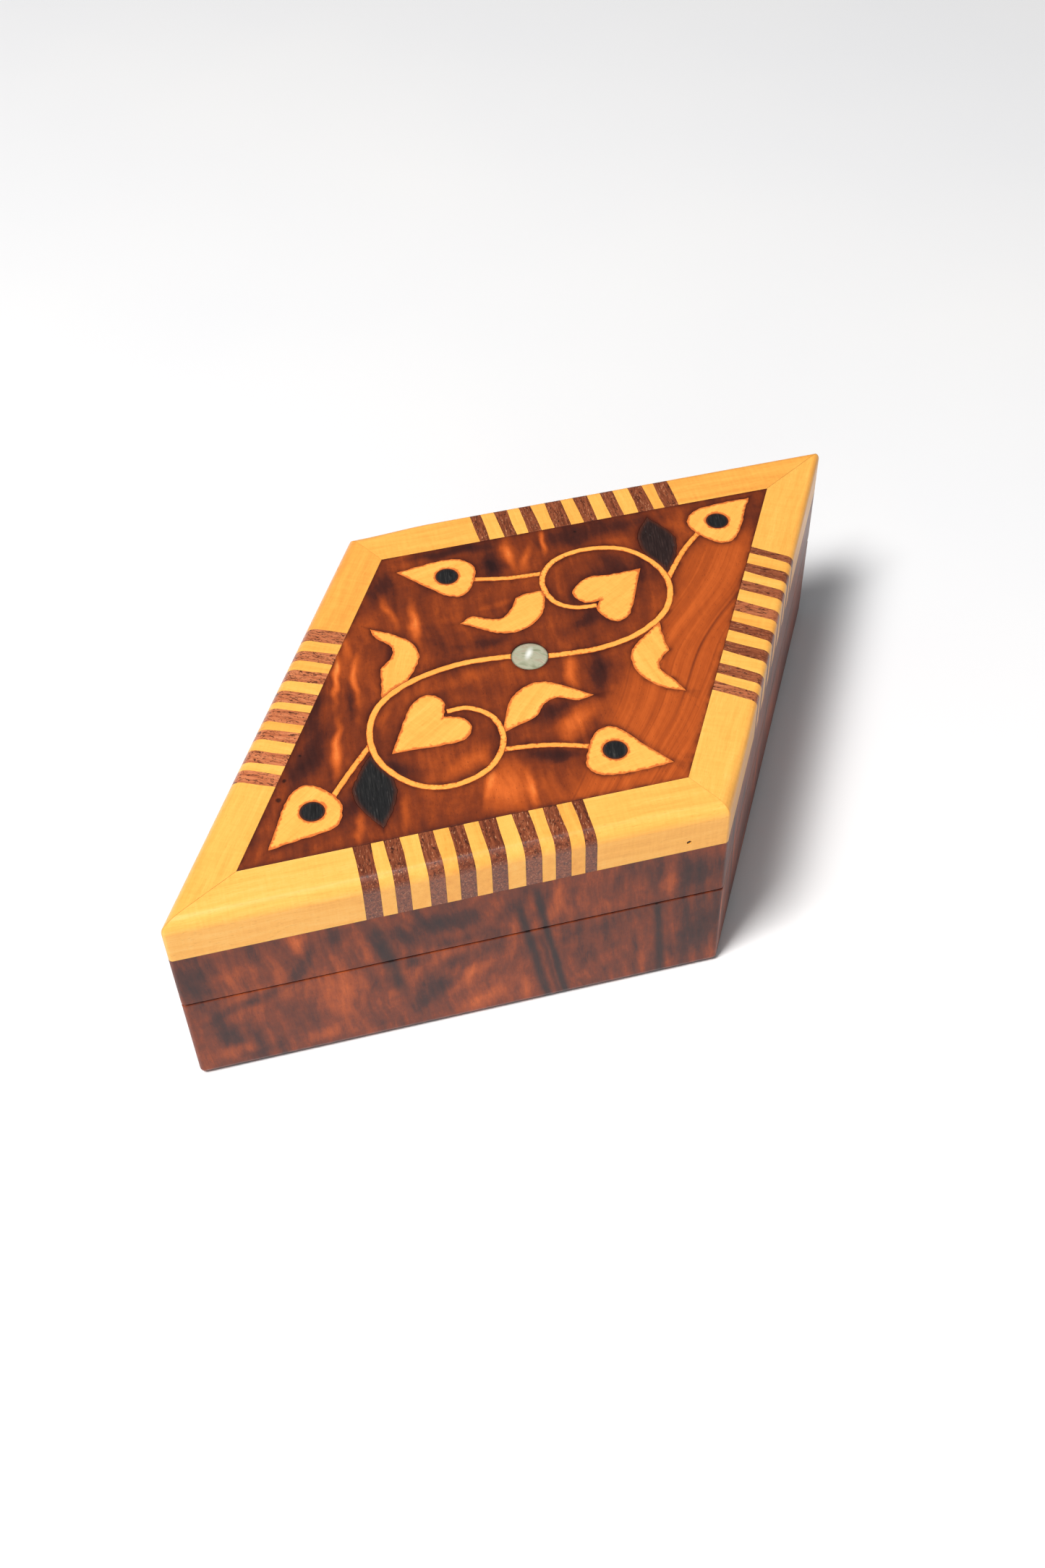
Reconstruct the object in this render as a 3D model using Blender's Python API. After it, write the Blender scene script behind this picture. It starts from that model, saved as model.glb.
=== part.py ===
"""An inlaid thuya-wood box with a hinged lid, rhombus in plan.

The box stands on z = 0 with its centre over the origin. The front side runs along X at -Y, and the lid
hangs on two brass butt hinges in the back side at +Y. The lid's top board is lipped with a mitred
lemonwood frame, with a striped block in the middle of each side, and carries the inlay in pockets.
Lengths of the inlay are written in millimetres in plan and scaled to metres where they are used.
"""
import math

import bmesh
import bpy
from mathutils import Matrix, Vector

MM = 0.001

# Box
ACUTE_ANGLE = math.radians(60.8)
FIELD_SIDE = 93.0 * MM
FRAME_WIDTH = 10.0 * MM
FRAME_HEIGHT = 11.2 * MM
BOX_HEIGHT = 53.2 * MM
SPLIT_HEIGHT = 26.3 * MM
WALL = 11.5 * MM
FLOOR_THICKNESS = 6.0 * MM
TOP_EDGE_RADIUS = 3.2 * MM
BOTTOM_EDGE_RADIUS = 2.0 * MM
SPLIT_EDGE_CHAMFER = 0.4 * MM
GAP = 0.3 * MM
GLUE_GAP = 0.2 * MM

# Striped blocks: where each starts and ends along its side, from the middle of that side, and how
# far its joints lean from square to the side
BLOCK_SPANS = {
    "front": (-23.3 * MM, 24.1 * MM, math.radians(0.0)),
    "right": (-21.1 * MM, 25.4 * MM, math.radians(7.0)),
    "back": (-24.6 * MM, 23.3 * MM, math.radians(-2.0)),
    "left": (-21.8 * MM, 24.0 * MM, math.radians(-4.0)),
}

# Hinges
HINGE_INSET = 2.2 * MM
STOP_ANGLE = math.radians(105.0)
HINGE_PLACES = {"left": -5.0 * MM, "right": 49.0 * MM}
HINGE_LENGTH = 18.0 * MM
KNUCKLE_RADIUS = 1.3 * MM
PIN_RADIUS = 0.55 * MM
PIN_HOLE_RADIUS = 0.7 * MM
LEAF_DEPTH = 8.0 * MM
LEAF_THICKNESS = 0.8 * MM
LEAF_CLEARANCE = 0.2 * MM
TAB_END = 0.95 * MM
SCREW_SPACING = 10.0 * MM
SCREW_LENGTH = 5.5 * MM
SCREW_TIP_LENGTH = 0.8 * MM
SCREW_TIP_RADIUS = 0.15 * MM
SCREW_CLEARANCE = 0.15 * MM
SCREW_SINK = 0.05 * MM
SCREW_RADIUS = 0.7 * MM
SCREW_HEAD_RADIUS = 1.35 * MM
SCREW_ROW = 4.6 * MM

# Inlay
INLAY_DEPTH = 2.4 * MM
POCKET_DEPTH = 2.7 * MM
INLAY_GAP = 0.2 * MM
DOT_DEPTH = 1.4 * MM
DOT_DIAMETER = 5.1 * MM
PEARL_DIAMETER = 8.1 * MM
PEARL_CENTRE = (1.2, 1.6)
SCROLL_WIDTH_START = 1.3
SCROLL_WIDTH_END = 1.05
STEM_WIDTH = 1.15
BRAD_RADIUS = 0.45 * MM
BRAD_LENGTH = 6.0 * MM
BRAD_SINK = 0.05 * MM
BRAD_PLACE = (21.2 * MM, 44.8 * MM)

SAMPLES_PER_SPAN = 3
ROUND_SEGMENTS = 24
SMALL_SEGMENTS = 16
BRAD_SEGMENTS = 12

# The scrolls' centre lines, from the pearl round to the heart's notch
SCROLLS = {
    "scroll_lower": [
        (0.5, 2.0), (-6.0, 3.0), (-15.1, 3.2), (-25.5, 0.8), (-33.4, -4.3), (-36.9, -12.0), (-36.1, -20.4),
        (-30.6, -27.7), (-23.2, -30.1), (-15.0, -27.6), (-10.3, -21.2), (-10.6, -14.1), (-15.0, -9.9),
        (-19.8, -9.6),
    ],
    "scroll_upper": [
        (2.5, 0.9), (9.4, 0.2), (17.0, 0.0), (26.0, 2.1), (33.7, 7.4), (37.1, 15.2), (35.8, 22.8),
        (30.4, 29.3), (21.8, 31.5), (14.0, 29.6), (9.8, 24.0), (10.5, 17.2), (14.4, 13.8), (19.6, 13.0),
    ],
}

# Stems, from the ring to the teardrop
STEMS = {
    "stem_lower_left": [(-37.3, -14.8), (-42.6, -20.8), (-47.9, -27.3)],
    "stem_lower_right": [(-10.9, -23.2), (-4.5, -23.9), (0.9, -25.1), (7.0, -27.2)],
    "stem_upper_left": [(10.2, 26.3), (2.5, 26.9), (-5.6, 28.7)],
    "stem_upper_right": [(37.2, 16.8), (40.0, 20.7), (44.0, 25.6), (48.9, 30.2)],
}

# Closed outlines, as smooth runs that meet at corners
TEARDROPS = {
    "teardrop_lower_left": [[
        (-62.4, -37.1), (-59.9, -31.8), (-57.3, -26.2), (-54.5, -22.8), (-52.0, -22.2), (-49.4, -23.6),
        (-46.7, -26.9), (-46.0, -29.9), (-47.4, -33.9), (-51.0, -35.4), (-56.5, -36.1), (-62.4, -37.1),
    ]],
    "teardrop_lower_right": [[
        (22.1, -35.8), (17.7, -29.3), (15.1, -25.2), (12.9, -23.0), (10.5, -22.8), (8.3, -24.2),
        (5.6, -29.0), (4.7, -32.3), (6.4, -34.9), (10.0, -36.0), (15.5, -36.2), (22.1, -35.8),
    ]],
    "teardrop_upper_left": [[
        (-21.4, 35.3), (-16.0, 36.1), (-10.5, 36.6), (-6.4, 35.8), (-4.1, 33.2), (-4.0, 30.9),
        (-5.5, 27.2), (-8.0, 24.2), (-10.4, 24.2), (-13.0, 25.8), (-17.0, 30.3), (-21.4, 35.3),
    ]],
    "teardrop_upper_right": [[
        (63.9, 38.5), (57.5, 38.6), (51.2, 37.9), (48.4, 36.2), (47.2, 33.4), (48.1, 30.5),
        (50.4, 27.1), (53.3, 25.2), (56.2, 26.0), (59.3, 30.1), (61.6, 34.7), (63.9, 38.5),
    ]],
}
DOTS = {
    "dot_lower_left": (-52.1, -29.4),
    "dot_lower_right": (11.5, -29.4),
    "dot_upper_left": (-10.6, 31.1),
    "dot_upper_right": (54.2, 32.8),
}
HEARTS = {
    "heart_lower": [
        [(-33.4, -18.3), (-31.2, -14.0), (-27.6, -7.2), (-24.4, -4.1), (-21.5, -4.4), (-19.8, -7.0),
         (-20.7, -10.9)],
        [(-20.7, -10.9), (-17.2, -12.2), (-15.7, -15.3), (-17.6, -18.3), (-22.0, -18.8), (-33.4, -18.3)],
    ],
    "heart_upper": [
        [(32.4, 22.0), (25.0, 21.9), (20.3, 22.4), (16.8, 20.4), (15.3, 17.7), (17.1, 14.6), (20.7, 14.3)],
        [(20.7, 14.3), (19.3, 11.9), (20.8, 8.2), (23.6, 7.0), (26.7, 9.8), (32.4, 22.0)],
    ],
}
EBONY_LEAVES = {
    "leaf_lower": [
        [(-38.0, -17.7), (-40.8, -21.6), (-43.3, -26.6), (-42.0, -32.2), (-38.9, -37.4)],
        [(-38.9, -37.4), (-35.8, -32.4), (-34.3, -27.3), (-35.6, -22.4), (-38.0, -17.7)],
    ],
    "leaf_upper": [
        [(38.8, 38.3), (41.8, 33.4), (43.0, 29.6), (41.6, 24.6), (38.2, 18.6)],
        [(38.2, 18.6), (35.4, 24.2), (34.5, 29.4), (35.4, 33.8), (38.8, 38.3)],
    ],
}
CURLED_LEAVES = {
    "curl_lower": [
        [(-9.9, -18.7), (-8.5, -15.2), (-6.3, -10.3), (-3.0, -7.3), (0.8, -6.4), (4.6, -7.8), (11.5, -13.1)],
        [(11.5, -13.1), (7.9, -13.8), (3.9, -11.9), (0.8, -12.8), (-2.2, -16.1), (-9.9, -18.7)],
    ],
    "curl_right": [
        [(31.6, 5.1), (28.0, 1.7), (23.6, -1.8), (22.1, -5.8), (23.0, -10.6), (26.3, -14.8), (30.8, -17.2)],
        [(30.8, -17.2), (29.5, -13.5), (27.4, -9.4), (28.6, -6.5), (30.9, -4.7)],
        [(30.9, -4.7), (31.0, 0.6), (31.6, 5.1)],
    ],
    "curl_left": [
        [(-32.6, -3.2), (-31.5, 2.6), (-31.0, 6.3)],
        [(-31.0, 6.3), (-28.0, 9.1), (-27.3, 12.5), (-30.1, 16.0), (-30.7, 18.9)],
        [(-30.7, 18.9), (-26.4, 16.2), (-22.8, 12.5), (-22.0, 7.8), (-25.4, 2.1), (-28.6, -0.8),
         (-32.6, -3.2)],
    ],
    "curl_upper": [
        [(9.7, 20.9), (5.7, 20.9), (2.7, 20.2)],
        [(2.7, 20.2), (0.9, 17.0), (-2.0, 14.7), (-5.0, 15.4), (-8.3, 17.0), (-11.1, 15.4)],
        [(-11.1, 15.4), (-8.2, 13.5), (-4.6, 10.8), (-0.1, 9.6), (4.4, 11.0), (7.8, 14.8), (9.7, 20.9)],
    ],
}

SIDES = ("front", "right", "back", "left")


# ---------------------------------------------------------------- scene and materials

def empty_scene():
    for obj in list(bpy.data.objects):
        bpy.data.objects.remove(obj, do_unlink=True)


def material(name, colour, roughness, metallic=0.0):
    """A plain Principled material; an existing one of that name is used again."""
    if name in bpy.data.materials:
        return bpy.data.materials[name]
    made = bpy.data.materials.new(name)
    made.use_nodes = True
    shader = made.node_tree.nodes["Principled BSDF"]
    shader.inputs["Base Color"].default_value = (*colour, 1.0)
    shader.inputs["Roughness"].default_value = roughness
    shader.inputs["Metallic"].default_value = metallic
    made.diffuse_color = (*colour, 1.0)
    return made


def thuya():
    return material("thuya", (0.22, 0.065, 0.026), 0.3)


def lemonwood():
    return material("lemonwood", (0.9, 0.55, 0.16), 0.3)


def striped_wood():
    return material("striped_wood", (0.45, 0.24, 0.1), 0.35)


def ebony():
    return material("ebony", (0.02, 0.02, 0.02), 0.3)


def nacre():
    return material("nacre", (0.55, 0.63, 0.54), 0.2)


def brass():
    return material("brass", (0.75, 0.53, 0.22), 0.3, 1.0)


def steel():
    return material("steel", (0.12, 0.1, 0.09), 0.45, 1.0)


# ---------------------------------------------------------------- meshes

def make_object(name, mesh_in_progress, finish):
    """Turn a bmesh in world coordinates into a named object."""
    bmesh.ops.recalc_face_normals(mesh_in_progress, faces=mesh_in_progress.faces)
    mesh = bpy.data.meshes.new(name)
    mesh_in_progress.to_mesh(mesh)
    mesh_in_progress.free()
    obj = bpy.data.objects.new(name, mesh)
    bpy.context.scene.collection.objects.link(obj)
    obj.data.materials.append(finish)
    return obj


def hang_on(lid, pieces):
    """Parent finished pieces to the lid's axis, with their origins on it."""
    for piece in pieces:
        piece.data.transform(Matrix.Translation(-lid.location))
        piece.parent = lid


def prism(points, bottom, top):
    """A bmesh of a plan outline raised from `bottom` to `top`."""
    made = bmesh.new()
    low = [made.verts.new((x, y, bottom)) for x, y in points]
    high = [made.verts.new((x, y, top)) for x, y in points]
    bridge_loop(made, low, high)
    made.faces.new(list(reversed(low)))
    made.faces.new(high)
    return made


def bridge_loop(made, first, second):
    """Join two closed rings of vertices of equal count with quads."""
    count = len(first)
    for i in range(count):
        j = (i + 1) % count
        made.faces.new((first[i], first[j], second[j], second[i]))


def box(low, high):
    corners = [(low[0], low[1]), (high[0], low[1]), (high[0], high[1]), (low[0], high[1])]
    return prism(corners, low[2], high[2])


def turned(profile, centre, segments=ROUND_SEGMENTS):
    """A solid turned about the vertical through `centre`, from (radius, z) pairs from bottom to top."""
    made = bmesh.new()
    rings = []
    for radius, z in profile:
        ring = []
        for i in range(segments):
            angle = 2.0 * math.pi * i / segments
            ring.append(made.verts.new((centre[0] + radius * math.cos(angle),
                                        centre[1] + radius * math.sin(angle), z)))
        rings.append(ring)
    for lower, upper in zip(rings, rings[1:]):
        bridge_loop(made, lower, upper)
    made.faces.new(list(reversed(rings[0])))
    made.faces.new(rings[-1])
    return made


def rod_along_x(radius, start, finish, y, z, segments=ROUND_SEGMENTS):
    made = bmesh.new()
    rings = []
    for x in (start, finish):
        ring = []
        for i in range(segments):
            angle = 2.0 * math.pi * i / segments
            ring.append(made.verts.new((x, y + radius * math.cos(angle), z + radius * math.sin(angle))))
        rings.append(ring)
    bridge_loop(made, rings[0], rings[1])
    made.faces.new(list(reversed(rings[0])))
    made.faces.new(rings[1])
    return made


def apply_boolean(target, tool_mesh, operation):
    """Cut or join `target` with a bmesh solid, both in world coordinates."""
    tool = make_object("tool", tool_mesh, brass())
    change = target.modifiers.new("cut", "BOOLEAN")
    change.operation = operation
    change.object = tool
    change.solver = "EXACT"
    bpy.context.view_layer.update()
    evaluated = target.evaluated_get(bpy.context.evaluated_depsgraph_get())
    result = bpy.data.meshes.new_from_object(evaluated)
    target.modifiers.remove(change)
    old = target.data
    result.name = old.name
    target.data = result
    bpy.data.meshes.remove(old)
    spent = tool.data
    bpy.data.objects.remove(tool, do_unlink=True)
    bpy.data.meshes.remove(spent)


def cut(target, tool_mesh):
    apply_boolean(target, tool_mesh, "DIFFERENCE")


def join(target, tool_mesh):
    apply_boolean(target, tool_mesh, "UNION")


def smooth_rounds(obj, angle=math.radians(35.0)):
    obj.data.shade_smooth()
    obj.data.set_sharp_from_angle(angle=angle)


# ---------------------------------------------------------------- plan geometry

def corner(index, offset):
    """Corner of the field rhombus grown outwards by `offset`: 0 front left, then anticlockwise."""
    half_height = FIELD_SIDE * math.sin(ACUTE_ANGLE) / 2.0
    lean = half_height / math.tan(ACUTE_ANGLE)
    corners = [(-FIELD_SIDE / 2.0 - lean, -half_height), (FIELD_SIDE / 2.0 - lean, -half_height),
               (FIELD_SIDE / 2.0 + lean, half_height), (-FIELD_SIDE / 2.0 + lean, half_height)]
    half_angle = ACUTE_ANGLE / 2.0
    if index % 2 == 0:
        reach = Vector((math.cos(half_angle), math.sin(half_angle))) / math.sin(half_angle)
    else:
        reach = Vector((-math.sin(half_angle), math.cos(half_angle))) / math.cos(half_angle)
    if index < 2:
        reach = -reach
    return Vector(corners[index]) + reach * offset


def rhombus(offset):
    return [corner(i, offset) for i in range(4)]


class Side:
    """One side of the box: u runs along it from its middle, v outwards from the field's edge."""

    def __init__(self, name):
        index = SIDES.index(name)
        first = corner(index, 0.0)
        second = corner((index + 1) % 4, 0.0)
        self.name = name
        self.along = (second - first).normalized()
        self.out = Vector((self.along.y, -self.along.x))
        self.middle = (first + second) / 2.0
        first_half = ACUTE_ANGLE / 2.0 if index % 2 == 0 else (math.pi - ACUTE_ANGLE) / 2.0
        self.half_angles = (first_half, math.pi / 2.0 - first_half)

    def point(self, u, v, z):
        place = self.middle + self.along * u + self.out * v
        return (place.x, place.y, z)

    def mitre(self, end, gap=GLUE_GAP):
        """The u of the mitre at the first (0) or second (1) corner, as a function of v."""
        half = self.half_angles[end]
        sign = -1.0 if end == 0 else 1.0
        back_off = gap / 2.0 / math.sin(half)
        return lambda v: sign * (FIELD_SIDE / 2.0 + v / math.tan(half) - back_off)

    def length(self, profile, start, finish):
        """A bmesh of a (v, z) section run between two slanted ends given as functions of v."""
        made = bmesh.new()
        first = [made.verts.new(self.point(start(v), v, z)) for v, z in profile]
        second = [made.verts.new(self.point(finish(v), v, z)) for v, z in profile]
        bridge_loop(made, first, second)
        made.faces.new(list(reversed(first)))
        made.faces.new(second)
        return made


def rounded_corner(centre, radius, first_angle, last_angle, steps):
    points = []
    for i in range(steps + 1):
        angle = math.radians(first_angle + (last_angle - first_angle) * i / steps)
        points.append((centre[0] + radius * math.cos(angle), centre[1] + radius * math.sin(angle)))
    return points


def smooth_run(knots):
    """Points on a Catmull-Rom curve through `knots`, in metres, both ends included."""
    points = [Vector(k) * MM for k in knots]
    padded = [points[0] * 2.0 - points[1]] + points + [points[-1] * 2.0 - points[-2]]
    run = []
    for i in range(1, len(padded) - 2):
        p0, p1, p2, p3 = padded[i - 1:i + 3]
        for step in range(SAMPLES_PER_SPAN):
            t = step / SAMPLES_PER_SPAN
            run.append(0.5 * (2.0 * p1 + (p2 - p0) * t + (2.0 * p0 - 5.0 * p1 + 4.0 * p2 - p3) * t ** 2
                              + (3.0 * p1 - p0 - 3.0 * p2 + p3) * t ** 3))
    run.append(points[-1])
    return run


def closed_outline(runs, grow=0.0):
    """The outline that the smooth runs make, grown outwards by `grow` with mitred corners."""
    points = []
    for run in runs:
        points.extend(smooth_run(run)[:-1])
    area = sum(a.x * b.y - b.x * a.y for a, b in zip(points, points[1:] + points[:1]))
    if area < 0.0:
        points.reverse()
    return grown(points, grow) if grow else points


def grown(points, amount):
    """An anticlockwise outline moved outwards; sharp corners are held to twice the amount."""
    moved = []
    count = len(points)
    for i, point in enumerate(points):
        before = (point - points[i - 1]).normalized()
        after = (points[(i + 1) % count] - point).normalized()
        normal_sum = Vector((before.y + after.y, -before.x - after.x))
        normal_sum.normalize()
        stretch = 1.0 / max(0.5, normal_sum.dot(Vector((after.y, -after.x))))
        moved.append(point + normal_sum * (amount * stretch))
    return moved


def ribbon(knots, width_start, width_end, grow=0.0):
    """The outline of a line of changing width, in metres, along the smooth curve through `knots`."""
    path = smooth_run(knots)
    left, right = [], []
    last = len(path) - 1
    for i, point in enumerate(path):
        ahead = path[min(i + 1, last)] - path[max(i - 1, 0)]
        across = Vector((-ahead.y, ahead.x)).normalized()
        half = (width_start + (width_end - width_start) * i / last) * MM / 2.0 + grow
        left.append(point + across * half)
        right.append(point - across * half)
    if grow:
        for row in (left, right):
            row[0] = row[0] + (path[0] - path[1]).normalized() * grow
            row[-1] = row[-1] + (path[-1] - path[-2]).normalized() * grow
    return right + list(reversed(left))


# ---------------------------------------------------------------- base and lid walls

def wall_profile(bottom, top, is_base):
    """Section (v, z) of a wall, anticlockwise from its lower inner edge, its edge at the split eased."""
    outer = FRAME_WIDTH
    inner = FRAME_WIDTH - WALL
    ease = SPLIT_EDGE_CHAMFER
    profile = [(inner, bottom)]
    if is_base:
        radius = BOTTOM_EDGE_RADIUS
        profile += rounded_corner((outer - radius, bottom + radius), radius, -90.0, 0.0, 4)
        profile += [(outer, top - ease), (outer - ease, top)]
    else:
        profile += [(outer - ease, bottom), (outer, bottom + ease), (outer, top)]
    profile += [(inner, top)]
    return profile


def back_groove():
    """The V along the back, open to both sides, whose faces meet when the open lid comes to rest."""
    reach = HINGE_INSET + MM
    rise = reach * math.tan(STOP_ANGLE / 2.0)
    axis_y = hinge_axis_y()
    face_y = axis_y + reach
    section = [(axis_y, SPLIT_HEIGHT), (face_y, SPLIT_HEIGHT - rise), (face_y, SPLIT_HEIGHT + rise)]
    end_x = corner(2, FRAME_WIDTH).x + MM
    groove = bmesh.new()
    rings = [[groove.verts.new((x, y, z)) for y, z in section] for x in (-end_x, end_x)]
    bridge_loop(groove, rings[0], rings[1])
    groove.faces.new(list(reversed(rings[0])))
    groove.faces.new(rings[1])
    return groove


def make_walls(prefix, bottom, top, is_base):
    walls = {}
    for name in SIDES:
        side = Side(name)
        mesh = side.length(wall_profile(bottom, top, is_base), side.mitre(0), side.mitre(1))
        walls[name] = make_object(f"{prefix}_{name}_wall", mesh, thuya())
        if name != "front":
            cut(walls[name], back_groove())
    return walls


# ---------------------------------------------------------------- lid frame

def frame_profile():
    outer = FRAME_WIDTH
    bottom = BOX_HEIGHT - FRAME_HEIGHT
    radius = TOP_EDGE_RADIUS
    profile = [(0.0, bottom), (outer, bottom)]
    profile += rounded_corner((outer - radius, BOX_HEIGHT - radius), radius, 0.0, 90.0, 5)
    profile += [(0.0, BOX_HEIGHT)]
    return profile


def make_frame():
    """Two mitred lemonwood lengths and one striped block on each side."""
    pieces = {}
    profile = frame_profile()
    for name in SIDES:
        side = Side(name)
        block_start, block_end, lean = BLOCK_SPANS[name]
        slant = math.tan(lean)
        half_gap = GLUE_GAP / 2.0

        def joint(u):
            return lambda v: u - v * slant

        first_end, second_start = joint(block_start - half_gap), joint(block_end + half_gap)
        block_ends = joint(block_start + half_gap), joint(block_end - half_gap)
        parts = [
            (f"frame_{name}_first", side.mitre(0), first_end, lemonwood()),
            (f"striped_block_{name}", *block_ends, striped_wood()),
            (f"frame_{name}_second", second_start, side.mitre(1), lemonwood()),
        ]
        for piece_name, start, finish, wood in parts:
            pieces[piece_name] = make_object(piece_name, side.length(profile, start, finish), wood)
            smooth_rounds(pieces[piece_name])
    return pieces


def make_brad(frame_piece):
    """A small pin driven square through the front frame length."""
    x, z = BRAD_PLACE
    face = corner(0, FRAME_WIDTH).y

    def pin(radius, start, finish):
        mesh = rod_along_x(radius, start, finish, 0.0, 0.0, BRAD_SEGMENTS)
        mesh.transform(Matrix.Translation((x, 0.0, z)) @ Matrix.Rotation(math.pi / 2.0, 4, "Z"))
        return mesh

    cut(frame_piece, pin(BRAD_RADIUS + INLAY_GAP, face - GAP, face + BRAD_LENGTH + GAP))
    brad = make_object("brad", pin(BRAD_RADIUS, face + BRAD_SINK, face + BRAD_LENGTH), steel())
    smooth_rounds(brad)
    return brad


# ---------------------------------------------------------------- inlay

def inlay_prism(points, depth=INLAY_DEPTH):
    """An inlay solid, flush with the lid's top."""
    return prism(points, BOX_HEIGHT - depth, BOX_HEIGHT)


def pocket_cutter(points, depth):
    return prism(points, BOX_HEIGHT - depth, BOX_HEIGHT + MM)


def circle(centre, diameter, segments=ROUND_SEGMENTS):
    return [Vector((centre[0] * MM + diameter / 2.0 * math.cos(2.0 * math.pi * i / segments),
                    centre[1] * MM + diameter / 2.0 * math.sin(2.0 * math.pi * i / segments)))
            for i in range(segments)]


def inlay_pockets():
    """Name to grown outline, for every piece let into the lid's top board."""
    pockets = {"pearl": circle(PEARL_CENTRE, PEARL_DIAMETER + 2.0 * INLAY_GAP)}
    for name, knots in SCROLLS.items():
        pockets[name] = ribbon(knots, SCROLL_WIDTH_START, SCROLL_WIDTH_END, INLAY_GAP)
    for name, knots in STEMS.items():
        pockets[name] = ribbon(knots, STEM_WIDTH, STEM_WIDTH, INLAY_GAP)
    for group in (TEARDROPS, HEARTS, EBONY_LEAVES, CURLED_LEAVES):
        for name, runs in group.items():
            pockets[name] = closed_outline(runs, INLAY_GAP)
    return pockets


def make_inlay(pockets):
    """Every inlay piece, fitted against its neighbours by cutting their pockets from it."""
    scrolls = list(SCROLLS)
    beside_stems = scrolls + list(TEARDROPS)
    pieces = []

    def add(name, outline, wood, neighbours):
        piece = make_object(name, inlay_prism(outline), wood)
        for neighbour in neighbours:
            cut(piece, pocket_cutter(pockets[neighbour], POCKET_DEPTH + MM))
        pieces.append(piece)
        return piece

    add("pearl", circle(PEARL_CENTRE, PEARL_DIAMETER), nacre(), [])
    for name, knots in SCROLLS.items():
        add(name, ribbon(knots, SCROLL_WIDTH_START, SCROLL_WIDTH_END), lemonwood(), ["pearl"])
    for name, runs in {**HEARTS, **CURLED_LEAVES}.items():
        add(name, closed_outline(runs), lemonwood(), scrolls)
    for name, knots in STEMS.items():
        add(name, ribbon(knots, STEM_WIDTH, STEM_WIDTH), lemonwood(), beside_stems)
    for name, runs in EBONY_LEAVES.items():
        add(name, closed_outline(runs), ebony(), scrolls + list(STEMS))
    for name, runs in TEARDROPS.items():
        drop = add(name, closed_outline(runs), lemonwood(), [])
        dot_name = name.replace("teardrop", "dot")
        hole = circle(DOTS[dot_name], DOT_DIAMETER + 2.0 * INLAY_GAP)
        cut(drop, pocket_cutter(hole, DOT_DEPTH + INLAY_GAP))
        dot = inlay_prism(circle(DOTS[dot_name], DOT_DIAMETER), DOT_DEPTH)
        pieces.append(make_object(dot_name, dot, ebony()))
    return pieces


def make_lid_panel(pockets):
    bottom = BOX_HEIGHT - FRAME_HEIGHT
    panel = make_object("lid_panel", prism(rhombus(-GLUE_GAP), bottom, BOX_HEIGHT), thuya())
    for outline in pockets.values():
        cut(panel, pocket_cutter(outline, POCKET_DEPTH))
    return panel


# ---------------------------------------------------------------- hinges

def facing(profile, head_z, direction):
    """A (radius, depth) section, from the head inwards, as (radius, z) pairs from bottom to top."""
    placed = [(radius, head_z + direction * depth) for radius, depth in profile]
    return placed if direction > 0 else list(reversed(placed))


def screw(head_z, direction):
    """Section of a countersunk screw whose head face is at `head_z`."""
    head_depth = SCREW_HEAD_RADIUS - SCREW_RADIUS
    profile = [(SCREW_HEAD_RADIUS, 0.0), (SCREW_RADIUS, head_depth),
               (SCREW_RADIUS, SCREW_LENGTH - SCREW_TIP_LENGTH), (SCREW_TIP_RADIUS, SCREW_LENGTH)]
    return facing(profile, head_z, direction)


def screw_hole(face_z, direction):
    """Section of the hole that a screw passes through, with its countersink."""
    head_depth = SCREW_HEAD_RADIUS - SCREW_RADIUS
    shank = SCREW_RADIUS + SCREW_CLEARANCE
    mouth = SCREW_HEAD_RADIUS + SCREW_CLEARANCE + GAP
    profile = [(mouth, -GAP), (shank, head_depth), (shank, SCREW_LENGTH + GAP)]
    return facing(profile, face_z, direction)


def screw_places(hinge_x):
    row_y = hinge_axis_y() - SCREW_ROW
    return {"a": (hinge_x - SCREW_SPACING / 2.0, row_y), "b": (hinge_x + SCREW_SPACING / 2.0, row_y)}


def hinge_axis_y():
    return corner(2, FRAME_WIDTH).y - HINGE_INSET


def toward_wood(owner):
    """Which way the wood lies from the split: up in the lid, down in the base."""
    return 1.0 if owner == "lid" else -1.0


def knuckle_spans(hinge_x, owner):
    """The x spans of the base leaf's two outer knuckles or of the lid leaf's middle one."""
    third = HINGE_LENGTH / 3.0
    start = hinge_x - HINGE_LENGTH / 2.0
    places = (0, 2) if owner == "base" else (1,)
    half_clearance = LEAF_CLEARANCE / 2.0
    return [(start + i * third + half_clearance, start + (i + 1) * third - half_clearance) for i in places]


def make_leaf(label, owner, hinge_x):
    """One leaf: a plate let into the wood, with its knuckles round the pin."""
    direction = toward_wood(owner)
    axis_y = hinge_axis_y()
    wood_face = SPLIT_HEIGHT + direction * GAP / 2.0
    faces = sorted((wood_face, wood_face + direction * LEAF_THICKNESS))
    half = HINGE_LENGTH / 2.0
    plate_edge = axis_y - KNUCKLE_RADIUS - LEAF_CLEARANCE
    plate = box((hinge_x - half, axis_y - LEAF_DEPTH, faces[0]), (hinge_x + half, plate_edge, faces[1]))
    leaf = make_object(f"hinge_{label}_{owner}_leaf", plate, brass())
    for start, finish in knuckle_spans(hinge_x, owner):
        join(leaf, box((start, plate_edge - MM, faces[0]), (finish, axis_y - TAB_END, faces[1])))
        join(leaf, rod_along_x(KNUCKLE_RADIUS, start, finish, axis_y, SPLIT_HEIGHT))
    cut(leaf, rod_along_x(PIN_HOLE_RADIUS, hinge_x - half - MM, hinge_x + half + MM, axis_y, SPLIT_HEIGHT))
    for place in screw_places(hinge_x).values():
        cut(leaf, turned(screw_hole(wood_face, direction), place, SMALL_SEGMENTS))
    smooth_rounds(leaf)
    return leaf


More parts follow.
